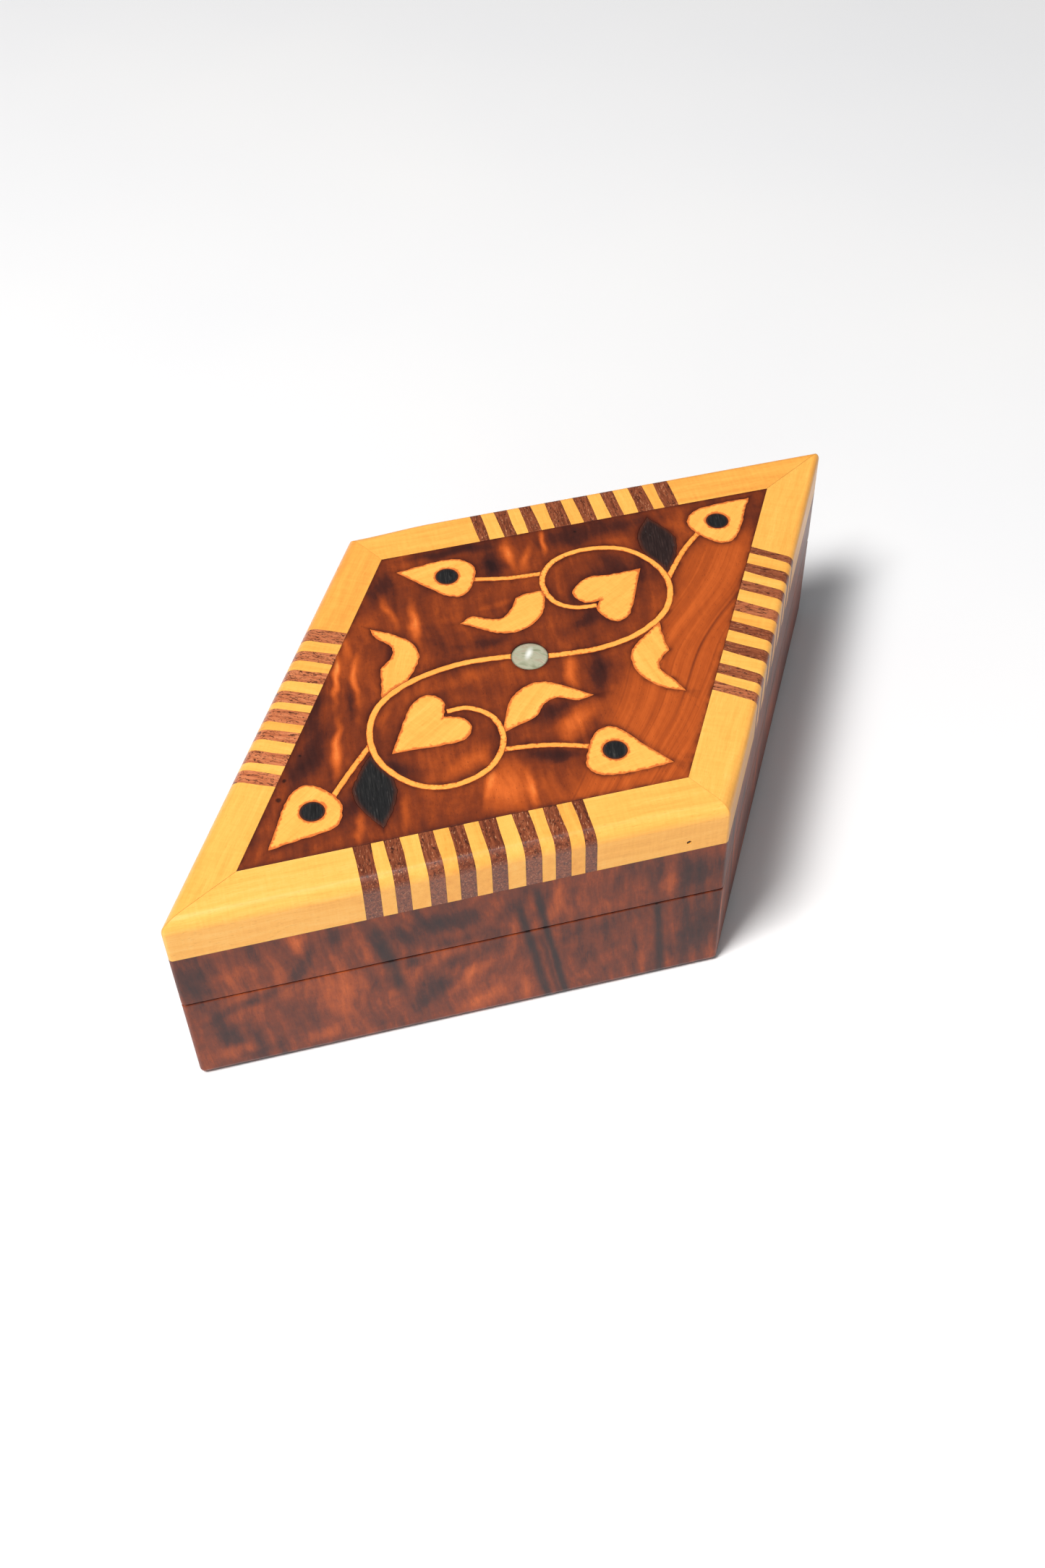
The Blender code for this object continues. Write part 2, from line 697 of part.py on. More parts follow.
def cut_hinge_seat(wall, owner, hinge_x):
    """The mortise, the knuckles' relief and the pilot holes in a back wall."""
    direction = toward_wood(owner)
    axis_y = hinge_axis_y()
    wood_face = SPLIT_HEIGHT + direction * GAP / 2.0
    half = HINGE_LENGTH / 2.0 + LEAF_CLEARANCE
    faces = sorted((SPLIT_HEIGHT - direction * MM, wood_face + direction * (LEAF_THICKNESS + LEAF_CLEARANCE)))
    near_y = axis_y - LEAF_DEPTH - LEAF_CLEARANCE
    cut(wall, box((hinge_x - half, near_y, faces[0]), (hinge_x + half, axis_y, faces[1])))
    cut(wall, rod_along_x(KNUCKLE_RADIUS + GAP, hinge_x - half, hinge_x + half, axis_y, SPLIT_HEIGHT))
    for place in screw_places(hinge_x).values():
        cut(wall, turned(screw_hole(wood_face, direction), place, SMALL_SEGMENTS))


def make_hinge(label, hinge_x):
    """Both leaves, their screws and the pin, sorted by the body that each belongs to."""
    pieces = {"base": [], "lid": []}
    for owner, made in pieces.items():
        made.append(make_leaf(label, owner, hinge_x))
        direction = toward_wood(owner)
        head_z = SPLIT_HEIGHT + direction * (GAP / 2.0 + SCREW_SINK)
        for mark, place in screw_places(hinge_x).items():
            mesh = turned(screw(head_z, direction), place, SMALL_SEGMENTS)
            made.append(make_object(f"screw_{label}_{owner}_{mark}", mesh, brass()))
            smooth_rounds(made[-1])
    half = HINGE_LENGTH / 2.0
    rod = rod_along_x(PIN_RADIUS, hinge_x - half, hinge_x + half, hinge_axis_y(), SPLIT_HEIGHT)
    pin = make_object(f"hinge_{label}_pin", rod, brass())
    smooth_rounds(pin)
    pieces["base"].append(pin)
    return pieces


# ---------------------------------------------------------------- assembly

def main():
    empty_scene()
    lid = bpy.data.objects.new("lid_axis", None)
    lid.location = (0.0, hinge_axis_y(), SPLIT_HEIGHT)
    bpy.context.scene.collection.objects.link(lid)
    floor_outline = rhombus(FRAME_WIDTH - WALL - GLUE_GAP)
    make_object("base_floor", prism(floor_outline, 0.0, FLOOR_THICKNESS), thuya())
    base_walls = make_walls("base", 0.0, SPLIT_HEIGHT - GAP / 2.0, True)
    lid_walls = make_walls("lid", SPLIT_HEIGHT + GAP / 2.0, BOX_HEIGHT - FRAME_HEIGHT - GLUE_GAP, False)
    lid_pieces = list(lid_walls.values())
    for label, hinge_x in HINGE_PLACES.items():
        cut_hinge_seat(base_walls["back"], "base", hinge_x)
        cut_hinge_seat(lid_walls["back"], "lid", hinge_x)
        lid_pieces += make_hinge(label, hinge_x)["lid"]
    frame_pieces = make_frame()
    lid_pieces += frame_pieces.values()
    lid_pieces.append(make_brad(frame_pieces["frame_front_second"]))
    pockets = inlay_pockets()
    lid_pieces += make_inlay(pockets)
    lid_pieces.append(make_lid_panel(pockets))
    hang_on(lid, lid_pieces)


main()
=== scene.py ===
"""The looks of an inlaid thuya-wood box: its boards, lemonwood lipping, striped blocks, inlay and hardware.

Plan positions along the inlay and the stripes are in millimetres in the row frame, as in the CAD source.
"""
import math
from collections import defaultdict

import bmesh
import bpy
import numpy as np
from mathutils import Matrix, Vector
from mathutils.geometry import delaunay_2d_cdt


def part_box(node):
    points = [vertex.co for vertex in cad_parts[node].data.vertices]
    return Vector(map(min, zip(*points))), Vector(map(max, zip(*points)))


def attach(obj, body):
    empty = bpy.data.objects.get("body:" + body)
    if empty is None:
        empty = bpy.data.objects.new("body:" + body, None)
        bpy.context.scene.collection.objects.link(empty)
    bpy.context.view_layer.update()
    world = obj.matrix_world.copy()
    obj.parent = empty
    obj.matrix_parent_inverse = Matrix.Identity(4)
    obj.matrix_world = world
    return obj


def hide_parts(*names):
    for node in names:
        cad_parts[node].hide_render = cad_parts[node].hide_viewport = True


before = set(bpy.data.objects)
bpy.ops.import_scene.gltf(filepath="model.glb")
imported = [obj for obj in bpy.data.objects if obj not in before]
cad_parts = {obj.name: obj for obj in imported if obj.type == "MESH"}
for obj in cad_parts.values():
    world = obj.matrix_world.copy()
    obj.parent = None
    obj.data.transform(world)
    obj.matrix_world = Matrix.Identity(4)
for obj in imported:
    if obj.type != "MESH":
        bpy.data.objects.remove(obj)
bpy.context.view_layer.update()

MM = 0.001

# The box, in millimetres
ACUTE_ANGLE = math.radians(60.8)
FIELD_SIDE = 93.0
FRAME_WIDTH = 10.0
FRAME_BOTTOM = 42.0
TOP = 53.2
SPLIT = 26.3
WALL = 11.5
FLOOR_TOP = 6.0
TOP_RADIUS = 3.2
FAR_TOP_RADIUS = 1.6
RADIUS_BLEND = 16.0
BOTTOM_RADIUS = 2.0
SPLIT_RADIUS = 0.4
SPLIT_GAP = 0.18
VERTICAL_EDGE_RADIUS = 0.9
GLUE_LINE = 0.03
MITRE_LINE = 0.06
INLAY_DEPTH = 2.4
POCKET_DEPTH = 2.6
INLAY_LINE = 0.07
DOT_DIAMETER = 5.1
DOT_DEPTH = 1.4
PEARL_DIAMETER = 8.1
PEARL_CENTRE = (1.2, 1.6)
HINGE_INSET = 2.2
STOP_ANGLE = math.radians(105.0)
HINGE_PLACES = {"left": -5.0, "right": 49.0}
SEAT_HALF_LENGTH = 9.15
SEAT_WIDTH = 8.15
SEAT_DEPTH = 1.15
KNUCKLE_RELIEF = 1.55
THREAD_START = 0.9
THREAD_PITCH = 0.55
THREAD_TURNS = 7
BRAD_PLACE = (21.2, 44.8)
BRAD_RADIUS = 0.45
BRAD_SEGMENTS = 24
SIDES = ("front", "right", "back", "left")

# Joints between the fifteen strips of each side's block, at the field's edge: along X on the front and
# back, and up the side from its middle on the left and right. Each pair ends with how far the first
# and last joints have moved where they reach the outer face.
STRIP_JOINTS = {
    "front": ((-46.0, -42.4, -39.6, -36.5, -32.7, -29.6, -26.5, -23.3, -20.3, -16.8, -13.3, -10.0, -7.1,
               -4.0, -1.0, 1.4), (-0.1, 0.35)),
    "back": ((-0.6, 1.8, 5.1, 8.2, 11.0, 14.0, 17.3, 21.1, 24.3, 27.6, 30.8, 34.0, 37.6, 41.2, 43.9, 47.3),
             (-0.3, -0.3)),
    "left": ((-24.0, -20.7, -18.4, -15.0, -11.9, -8.9, -6.5, -2.9, -0.7, 2.6, 5.6, 9.1, 11.9, 15.0, 18.2,
              21.8), (-0.7, -0.7)),
    "right": ((-21.1, -18.4, -15.8, -12.9, -8.9, -5.8, -2.5, 0.6, 3.9, 7.2, 11.0, 13.9, 16.9, 19.9, 23.2,
               25.4), (-1.3, -1.3)),
}

SCROLLS = {
    "scroll_lower": [
        (0.5, 2.0), (-6.0, 3.0), (-15.1, 3.2), (-25.5, 0.8), (-33.4, -4.3), (-36.9, -12.0), (-36.1, -20.4),
        (-30.6, -27.7), (-23.2, -30.1), (-15.0, -27.6), (-10.3, -21.2), (-10.6, -14.1), (-15.0, -9.9),
        (-19.8, -9.6),
    ],
    "scroll_upper": [
        (2.5, 0.9), (9.4, 0.2), (17.0, 0.0), (26.0, 2.1), (33.7, 7.4), (37.1, 15.2), (35.8, 22.8),
        (30.4, 29.3), (21.8, 31.5), (14.0, 29.6), (9.8, 24.0), (10.5, 17.2), (14.4, 13.8), (19.6, 13.0),
    ],
}
SCROLL_WIDTHS = (1.5, 1.25)
STEMS = {
    "stem_lower_left": [(-37.3, -14.8), (-42.6, -20.8), (-47.9, -27.3)],
    "stem_lower_right": [(-10.9, -23.2), (-4.5, -23.9), (0.9, -25.1), (7.0, -27.2)],
    "stem_upper_left": [(10.2, 26.3), (2.5, 26.9), (-5.6, 28.7)],
    "stem_upper_right": [(37.2, 16.8), (40.0, 20.7), (44.0, 25.6), (48.9, 30.2)],
}
STEM_WIDTH = 1.25
TEARDROPS = {
    "teardrop_lower_left": [[
        (-62.4, -37.1), (-59.9, -31.8), (-57.3, -26.2), (-54.5, -22.8), (-52.0, -22.2), (-49.4, -23.6),
        (-46.7, -26.9), (-46.0, -29.9), (-47.4, -33.9), (-51.0, -35.4), (-56.5, -36.1), (-62.4, -37.1),
    ]],
    "teardrop_lower_right": [[
        (22.1, -35.8), (17.7, -29.3), (15.1, -25.2), (12.9, -23.0), (10.5, -22.8), (8.3, -24.2),
        (5.6, -29.0), (4.7, -32.3), (6.4, -34.9), (10.0, -36.0), (15.5, -36.2), (22.1, -35.8),
    ]],
    "teardrop_upper_left": [[
        (-21.4, 35.3), (-16.0, 36.1), (-10.5, 36.6), (-6.4, 35.8), (-4.1, 33.2), (-4.0, 30.9),
        (-5.5, 27.2), (-8.0, 24.2), (-10.4, 24.2), (-13.0, 25.8), (-17.0, 30.3), (-21.4, 35.3),
    ]],
    "teardrop_upper_right": [[
        (63.9, 38.5), (57.5, 38.6), (51.2, 37.9), (48.4, 36.2), (47.2, 33.4), (48.1, 30.5),
        (50.4, 27.1), (53.3, 25.2), (56.2, 26.0), (59.3, 30.1), (61.6, 34.7), (63.9, 38.5),
    ]],
}
DOTS = {
    "dot_lower_left": (-52.1, -29.4),
    "dot_lower_right": (11.5, -29.4),
    "dot_upper_left": (-10.6, 31.1),
    "dot_upper_right": (54.2, 32.8),
}
HEARTS = {
    "heart_lower": [
        [(-33.4, -18.3), (-31.2, -14.0), (-27.6, -7.2), (-24.4, -4.1), (-21.5, -4.4), (-19.8, -7.0),
         (-20.7, -10.9)],
        [(-20.7, -10.9), (-17.2, -12.2), (-15.7, -15.3), (-17.6, -18.3), (-22.0, -18.8), (-33.4, -18.3)],
    ],
    "heart_upper": [
        [(32.4, 22.0), (25.0, 21.9), (20.3, 22.4), (16.8, 20.4), (15.3, 17.7), (17.1, 14.6), (20.7, 14.3)],
        [(20.7, 14.3), (19.3, 11.9), (20.8, 8.2), (23.6, 7.0), (26.7, 9.8), (32.4, 22.0)],
    ],
}
EBONY_LEAVES = {
    "leaf_lower": [
        [(-38.0, -17.7), (-40.8, -21.6), (-43.3, -26.6), (-42.0, -32.2), (-38.9, -37.4)],
        [(-38.9, -37.4), (-35.8, -32.4), (-34.3, -27.3), (-35.6, -22.4), (-38.0, -17.7)],
    ],
    "leaf_upper": [
        [(38.8, 38.3), (41.8, 33.4), (43.0, 29.6), (41.6, 24.6), (38.2, 18.6)],
        [(38.2, 18.6), (35.4, 24.2), (34.5, 29.4), (35.4, 33.8), (38.8, 38.3)],
    ],
}
CURLED_LEAVES = {
    "curl_lower": [
        [(-9.9, -18.7), (-8.5, -15.2), (-6.3, -10.3), (-3.0, -7.3), (0.8, -6.4), (4.6, -7.8), (11.5, -13.1)],
        [(11.5, -13.1), (7.9, -13.8), (3.9, -11.9), (0.8, -12.8), (-2.2, -16.1), (-9.9, -18.7)],
    ],
    "curl_right": [
        [(31.6, 5.1), (28.0, 1.7), (23.6, -1.8), (22.1, -5.8), (23.0, -10.6), (26.3, -14.8), (30.8, -17.2)],
        [(30.8, -17.2), (29.5, -13.5), (27.4, -9.4), (28.6, -6.5), (30.9, -4.7)],
        [(30.9, -4.7), (31.0, 0.6), (31.6, 5.1)],
    ],
    "curl_left": [
        [(-32.6, -3.2), (-31.5, 2.6), (-31.0, 6.3)],
        [(-31.0, 6.3), (-28.0, 9.1), (-27.3, 12.5), (-30.1, 16.0), (-30.7, 18.9)],
        [(-30.7, 18.9), (-26.4, 16.2), (-22.8, 12.5), (-22.0, 7.8), (-25.4, 2.1), (-28.6, -0.8),
         (-32.6, -3.2)],
    ],
    "curl_upper": [
        [(9.7, 20.9), (5.7, 20.9), (2.7, 20.2)],
        [(2.7, 20.2), (0.9, 17.0), (-2.0, 14.7), (-5.0, 15.4), (-8.3, 17.0), (-11.1, 15.4)],
        [(-11.1, 15.4), (-8.2, 13.5), (-4.6, 10.8), (-0.1, 9.6), (4.4, 11.0), (7.8, 14.8), (9.7, 20.9)],
    ],
}


# ---------------------------------------------------------------- node graphs

def srgb(red, green, blue):
    """A display colour, 0 to 255, as a linear RGBA tuple."""
    def linear(value):
        value /= 255.0
        return value / 12.92 if value <= 0.04045 else ((value + 0.055) / 1.055) ** 2.4
    return (linear(red), linear(green), linear(blue), 1.0)


class Graph:
    """The node tree of a material or a world, written as nested calls. Lengths in it are in millimetres."""

    def __init__(self, owner, shader):
        owner.use_nodes = True
        self.owner = owner
        self.tree = owner.node_tree
        self.shader = self.tree.nodes[shader]

    def node(self, kind, inputs=(), **settings):
        made = self.tree.nodes.new("ShaderNode" + kind)
        for key, value in settings.items():
            setattr(made, key, value)
        for socket, value in dict(inputs).items():
            self.put(value, made.inputs[socket])
        return made

    def put(self, value, socket):
        if isinstance(value, bpy.types.NodeSocket):
            self.tree.links.new(value, socket)
        else:
            socket.default_value = value

    def attribute(self, name, output="Fac"):
        return self.node("Attribute", attribute_name=name).outputs[output]

    def math(self, operation, a, b=0.0, c=0.0, clamp=False):
        return self.node("Math", {0: a, 1: b, 2: c}, operation=operation, use_clamp=clamp).outputs[0]

    def vector(self, operation, a, b=(0.0, 0.0, 0.0), output=0):
        return self.node("VectorMath", {0: a, 1: b}, operation=operation).outputs[output]

    def add(self, a, b):
        return self.math("ADD", a, b)

    def times(self, a, b):
        return self.math("MULTIPLY", a, b)

    def vary(self, base, pattern, amount):
        """`base` moved up and down by a pattern that wanders about a half."""
        return self.math("MULTIPLY_ADD", self.math("SUBTRACT", pattern, 0.5), amount, base)

    def step(self, value, low, high, to_low=0.0, to_high=1.0):
        """A smooth step from to_low to to_high as value goes from low to high."""
        made = self.node("MapRange", {"Value": value, "From Min": low, "From Max": high, "To Min": to_low,
                                      "To Max": to_high}, interpolation_type="SMOOTHSTEP")
        return made.outputs[0]

    def mapped(self, vector, scale=(1.0, 1.0, 1.0), turn=0.0, shift=(0.0, 0.0, 0.0)):
        """The vector measured along a direction `turn` degrees round its third axis, scaled and shifted."""
        turned = vector
        if turn:
            spin = (0.0, 0.0, -math.radians(turn))
            turned = self.node("Mapping", {"Vector": vector, "Rotation": spin}).outputs[0]
        return self.node("Mapping", {"Vector": turned, "Scale": scale, "Location": shift}).outputs[0]

    def beside(self, vector, x, y, turn):
        """Distance to the right of the line through (x, y) that runs at `turn` degrees."""
        angle = math.radians(turn)
        across = (math.sin(angle), -math.cos(angle), 0.0)
        return self.vector("DOT_PRODUCT", self.vector("SUBTRACT", vector, (x, y, 0.0)), across, "Value")

    def distance(self, vector, x, y, squash=1.0):
        """Plan distance from (x, y), with its second part scaled by `squash`."""
        away = self.vector("SUBTRACT", vector, (x, y, 0.0))
        return self.vector("LENGTH", self.vector("MULTIPLY", away, (1.0, squash, 0.0)), output="Value")

    def noise(self, vector, scale=1.0, detail=2.0, roughness=0.5, distortion=0.0, output=0):
        made = self.node("TexNoise", {"Vector": vector, "Scale": scale, "Detail": detail,
                                      "Roughness": roughness, "Distortion": distortion})
        return made.outputs[output]

    def drawn(self, vector, scale, detail, roughness=0.5, turn=0.0, shift=(0.0, 0.0, 0.0), distortion=0.0):
        """Noise drawn out along `turn` degrees."""
        return self.noise(self.mapped(vector, scale, turn, shift), 1.0, detail, roughness, distortion)

    def cells(self, vector):
        return self.node("TexVoronoi", {"Vector": vector, "Scale": 1.0}).outputs["Distance"]

    def ramp(self, value, stops):
        """A colour ramp through stops of (place, red, green, blue), the colours from 0 to 255."""
        made = self.node("ValToRGB", {"Fac": value})
        elements = made.color_ramp.elements
        while len(elements) < len(stops):
            elements.new(0.5)
        for element, (place, *colour) in zip(elements, stops):
            element.position = place
            element.color = srgb(*colour)
        return made.outputs[0]

    def mix(self, factor, a, b):
        return self.node("Mix", {0: factor, 6: a, 7: b}, data_type="RGBA").outputs[2]

    def stain(self, colour, mask, *tint):
        """The colour turned towards a tint, its parts from 0 to 255, where the mask is."""
        return self.mix(mask, colour, srgb(*tint))

    def blend(self, factor, a, b):
        return self.node("Mix", {0: factor, 2: a, 3: b}).outputs[0]

    def warp(self, vector, scale, amount):
        """The vector pushed about by a smooth noise, by up to about `amount` millimetres."""
        push = self.vector("SUBTRACT", self.noise(vector, scale, 1.0, output=1), (0.5, 0.5, 0.5))
        scaled = self.node("VectorMath", {0: push, "Scale": 2.0 * amount}, operation="SCALE").outputs[0]
        return self.vector("ADD", vector, scaled)

    def patches(self, vector, marks, base):
        """`base` plus soft oval patches, each (x, y, half length, half width, turn in degrees, strength)."""
        total = base
        for x, y, length, width, turn, strength in marks:
            local = self.node("Mapping", {"Vector": vector, "Location": (x, y, 0.0),
                                          "Rotation": (0.0, 0.0, math.radians(turn)),
                                          "Scale": (length, width, 1e6)}, vector_type="TEXTURE").outputs[0]
            soft = self.node("TexGradient", {"Vector": local}, gradient_type="SPHERICAL").outputs[1]
            total = self.math("MULTIPLY_ADD", self.step(soft, 0.0, 1.0), strength, total)
        return total

    def veins(self, vector, lines):
        """A mask of dark veins, each (across at its top, slope, top, bottom, half width, strength)."""
        split = self.node("SeparateXYZ", {0: vector})
        across, height = split.outputs[0], split.outputs[1]
        total = 0.0
        for start, slope, top, bottom, half_width, strength in lines:
            below = self.math("SUBTRACT", top, height)
            centre = self.math("MULTIPLY_ADD", below, slope, start)
            off = self.math("ABSOLUTE", self.math("SUBTRACT", across, centre))
            mark = self.step(off, 0.1 * half_width, half_width, strength, 0.0)
            ends = self.times(self.step(below, -1.0, 4.0), self.step(height, bottom - 1.0, bottom + 6.0))
            total = self.math("MAXIMUM", total, self.times(mark, ends))
        return total

    def bump(self, height, depth, strength=1.0):
        """Height from 0 to 1 as relief `depth` millimetres deep."""
        made = self.node("Bump", {"Height": height, "Distance": depth * MM, "Strength": strength})
        self.put(made.outputs[0], self.shader.inputs["Normal"])

    def finish(self, colour, pattern=None, amount=0.0, least=0.0):
        """Set the colour, and a roughness that rises from `least` with the pattern."""
        self.put(colour, self.shader.inputs["Base Color"])
        if pattern is not None:
            self.put(self.math("MULTIPLY_ADD", pattern, amount, least), self.shader.inputs["Roughness"])
        return self.owner


def surface(name, **values):
    """A new material's graph, with constants set on its shader."""
    g = Graph(bpy.data.materials.new(name), "Principled BSDF")
    for socket, value in values.items():
        g.shader.inputs[socket.replace("_", " ")].default_value = value
    return g


# ---------------------------------------------------------------- materials

LACQUER = {"Coat_Weight": 0.25, "Coat_Roughness": 0.14, "Specular_IOR_Level": 0.35}
THIN_LACQUER = {"Coat_Weight": 0.08, "Coat_Roughness": 0.2, "Specular_IOR_Level": 0.25}
BARE = {"Specular_IOR_Level": 0.2}


def thuya(name, marks, veins=(), turn=90.0, swirl=None, lift=0.0, gloss=LACQUER, knots=(), calm=None,
          fibre=1.0):
    """Reddish brown thuya: cloudy figure placed by `marks`, dark veins, fine fibres and pin knots.

    Fibres run at `turn` degrees and show by `fibre`. `calm` is (x, y, turn, lift): right of that line the
    grain is straight.
    """
    g = surface(name, **gloss)
    grain = g.attribute("grain", "Vector")
    curled = g.warp(g.warp(grain, 0.06, 4.0), 0.25, 1.2)
    cloud = g.noise(curled, 0.07, 3.0, 0.6)
    tone = g.math("MULTIPLY_ADD", cloud, 0.55, 0.12 + lift)
    folds = g.drawn(g.warp(grain, 0.045, 5.0), (0.045, 0.4, 0.4), 2.0, 0.55, turn)
    tone = g.vary(tone, folds, 0.2 + 0.3 * fibre)
    mottle = g.drawn(g.warp(grain, 0.3, 0.8), (0.3, 0.75, 0.75), 3.0, 0.6, turn)
    tone = g.vary(tone, mottle, 0.2 * fibre)
    pips = g.noise(g.warp(grain, 0.4, 0.5), 1.4, 3.0, 0.7)
    tone = g.vary(tone, pips, 0.14)
    tone = g.patches(g.warp(grain, 0.14, 1.7), marks, tone)
    if swirl:
        x, y, pitch, reach, strength = swirl
        length = g.distance(g.warp(grain, 0.08, 3.0), x, y, 0.8)
        rings = g.math("SINE", g.times(length, 2.0 * math.pi / pitch))
        tone = g.math("MULTIPLY_ADD", rings, g.step(length, 0.6 * reach, reach, strength, 0.0), tone)
    streaks = g.drawn(g.warp(grain, 0.08, 2.0), (0.06, 1.3, 1.3), 3.0, 0.6, turn)
    fibres = g.drawn(g.warp(grain, 0.15, 0.6), (0.22, 5.5, 5.5), 3.0, 0.7, turn)
    if calm:
        x, y, direction, raised = calm
        beside = g.beside(g.warp(grain, 0.05, 5.0), x, y, direction)
        height = g.node("SeparateXYZ", {0: grain}).outputs[1]
        inside = g.times(g.step(beside, -5.0, 4.0), g.step(height, 21.0, 32.0, 1.0, 0.0))
        bent = g.warp(grain, 0.025, 5.0)
        lines = g.drawn(bent, (0.012, 0.5, 0.0), 3.0, 0.6, direction)
        fine = g.drawn(bent, (0.04, 3.4, 0.0), 3.0, 0.65, direction)
        thin = g.drawn(bent, (0.006, 0.55, 0.0), 2.0, 0.5, direction, (0.0, 5.0, 0.0))
        straight = g.vary(0.6 + raised, lines, 0.4)
        straight = g.math("MULTIPLY_ADD", g.step(thin, 0.56, 0.72), -0.17, straight)
        straight = g.vary(straight, mottle, 0.12)
        tone = g.add(g.times(tone, g.math("SUBTRACT", 1.0, inside)), g.times(straight, inside))
        streaks = g.blend(inside, streaks, fine)
        fibres = g.blend(inside, fibres, fine)
    tone = g.vary(tone, streaks, 0.16 * fibre)
    tone = g.vary(tone, fibres, 0.2 * fibre)
    colour = g.ramp(tone, [
        (0.0, 44, 23, 22), (0.2, 76, 34, 25), (0.4, 124, 53, 25),
        (0.6, 172, 77, 29), (0.8, 216, 104, 42), (1.0, 246, 148, 72),
    ])
    if veins:
        mask = g.veins(g.warp(grain, 0.2, 0.35), veins)
        broken = g.times(mask, g.math("MULTIPLY_ADD", fibres, 0.9, 0.5))
        colour = g.stain(colour, g.math("MINIMUM", broken, 0.95), 38, 26, 27)
    for x, y, size in knots:
        length = g.distance(g.warp(grain, 0.5, 0.25), x, y)
        colour = g.stain(colour, g.step(length, 0.4 * size, size, 0.85, 0.0), 34, 16, 14)
    pores = g.cells(g.mapped(grain, (0.5, 2.2, 2.2), turn))
    pore_mask = g.step(pores, 0.06, 0.16, 0.5, 0.0)
    colour = g.stain(colour, pore_mask, 50, 24, 18)
    halo = g.attribute("rim")
    patchy = g.times(halo, g.step(g.noise(grain, 0.35, 2.0), 0.3, 0.65, 0.35, 0.9))
    colour = g.stain(colour, patchy, 62, 22, 16)
    g.bump(g.math("SUBTRACT", fibres, g.times(pore_mask, 1.5)), 0.02, 0.35)
    return g.finish(colour, streaks, 0.2, 0.5 if gloss is BARE else 0.3)


def lemonwood():
    """Yellow lemonwood: soft streaks, ripple across the grain, small flecks, and stained inlaid edges."""
    g = surface("lemonwood", **THIN_LACQUER)
    grain = g.attribute("grain", "Vector")
    tone = g.attribute("tone")
    rim = g.attribute("rim")
    streaks = g.drawn(g.warp(grain, 0.05, 1.5), (0.03, 0.7, 0.7), 3.0, 0.55)
    fibres = g.drawn(grain, (0.25, 5.5, 5.5), 3.0, 0.6)
    ripple = g.drawn(grain, (1.6, 0.22, 0.22), 2.0, 0.6)
    flecks = g.drawn(grain, (0.9, 4.5, 4.5), 1.0)
    shade = g.vary(0.5, streaks, 0.6)
    shade = g.vary(shade, fibres, 0.45)
    shade = g.vary(shade, ripple, 0.3)
    shade = g.add(shade, tone)
    colour = g.ramp(shade, [
        (0.0, 216, 134, 58), (0.35, 241, 167, 76), (0.6, 251, 183, 88),
        (1.0, 255, 202, 114),
    ])
    colour = g.stain(colour, g.step(flecks, 0.62, 0.76, 0.0, 0.32), 206, 128, 48)
    edge = g.noise(grain, 1.3, 2.0)
    stained = g.step(g.vary(rim, edge, 1.2), 0.25, 0.8, 0.0, 0.85)
    colour = g.stain(colour, g.math("MINIMUM", stained, g.times(rim, 4.0)), 206, 96, 44)
    g.bump(g.add(fibres, g.times(ripple, 0.4)), 0.015, 0.25)
    return g.finish(colour, fibres, 0.15, 0.27)


def walnut():
    """Brown strips of the blocks: long pores, and pale flecks painted in as glints of light in the pores."""
    g = surface("walnut_strip", **LACQUER)
    grain = g.attribute("grain", "Vector")
    tone = g.attribute("tone")
    streaks = g.drawn(g.warp(grain, 0.3, 0.4), (0.12, 1.6, 1.6), 3.0, 0.6)
    fibres = g.drawn(g.warp(grain, 0.6, 0.15), (0.5, 7.0, 7.0), 2.0, 0.6)
    shade = g.vary(0.45, streaks, 1.3)
    shade = g.vary(shade, fibres, 0.7)
    brown = g.ramp(shade, [(0.0, 58, 28, 20), (0.45, 118, 58, 36), (1.0, 172, 96, 60)])
    salmon = g.ramp(shade, [(0.0, 146, 70, 42), (0.45, 212, 124, 80), (1.0, 238, 160, 112)])
    colour = g.mix(tone, brown, salmon)
    scribble = g.drawn(g.warp(grain, 0.8, 0.6), (0.5, 2.6, 2.6), 3.0, 0.7)
    marked = g.step(g.math("MULTIPLY_ADD", tone, 0.04, scribble), 0.55, 0.63, 0.0, 0.85)
    colour = g.stain(colour, marked, 52, 24, 18)
    # Painted highlight: pale flecks on the brown strips stand in for light glinting in the pores.
    flecks = g.drawn(grain, (0.9, 3.4, 3.4), 2.0, 0.6, -12.0, (3.0, 7.0, 1.0))
    pale = g.times(g.step(flecks, 0.61, 0.68, 0.0, 0.75), g.math("SUBTRACT", 1.0, tone, clamp=True))
    colour = g.stain(colour, pale, 206, 142, 104)
    g.bump(g.math("SUBTRACT", fibres, marked), 0.02, 0.5)
    return g.finish(colour, fibres, 0.2, 0.3)


def ebony():
    """Black wood, or a very dark brown where the piece's tone is 1, with grey pores."""
    g = surface("ebony", **LACQUER)
    grain = g.attribute("grain", "Vector")
    rim = g.attribute("rim")
    fibres = g.drawn(grain, (0.25, 3.4, 3.4), 3.0, 0.65)
    black = g.ramp(fibres, [(0.25, 20, 20, 21), (0.55, 34, 34, 35), (0.8, 58, 56, 54)])
    brown = g.ramp(fibres, [(0.25, 36, 20, 18), (0.55, 56, 32, 28), (0.8, 84, 52, 44)])
    colour = g.mix(g.attribute("tone"), black, brown)
    pores = g.drawn(grain, (0.5, 3.6, 3.6), 1.0)
    colour = g.stain(colour, g.step(pores, 0.64, 0.76, 0.0, 0.22), 104, 100, 98)
    colour = g.stain(colour, g.times(rim, 0.6), 96, 44, 26)
    g.bump(fibres, 0.02, 0.35)
    return g.finish(colour, fibres, 0.25, 0.26)


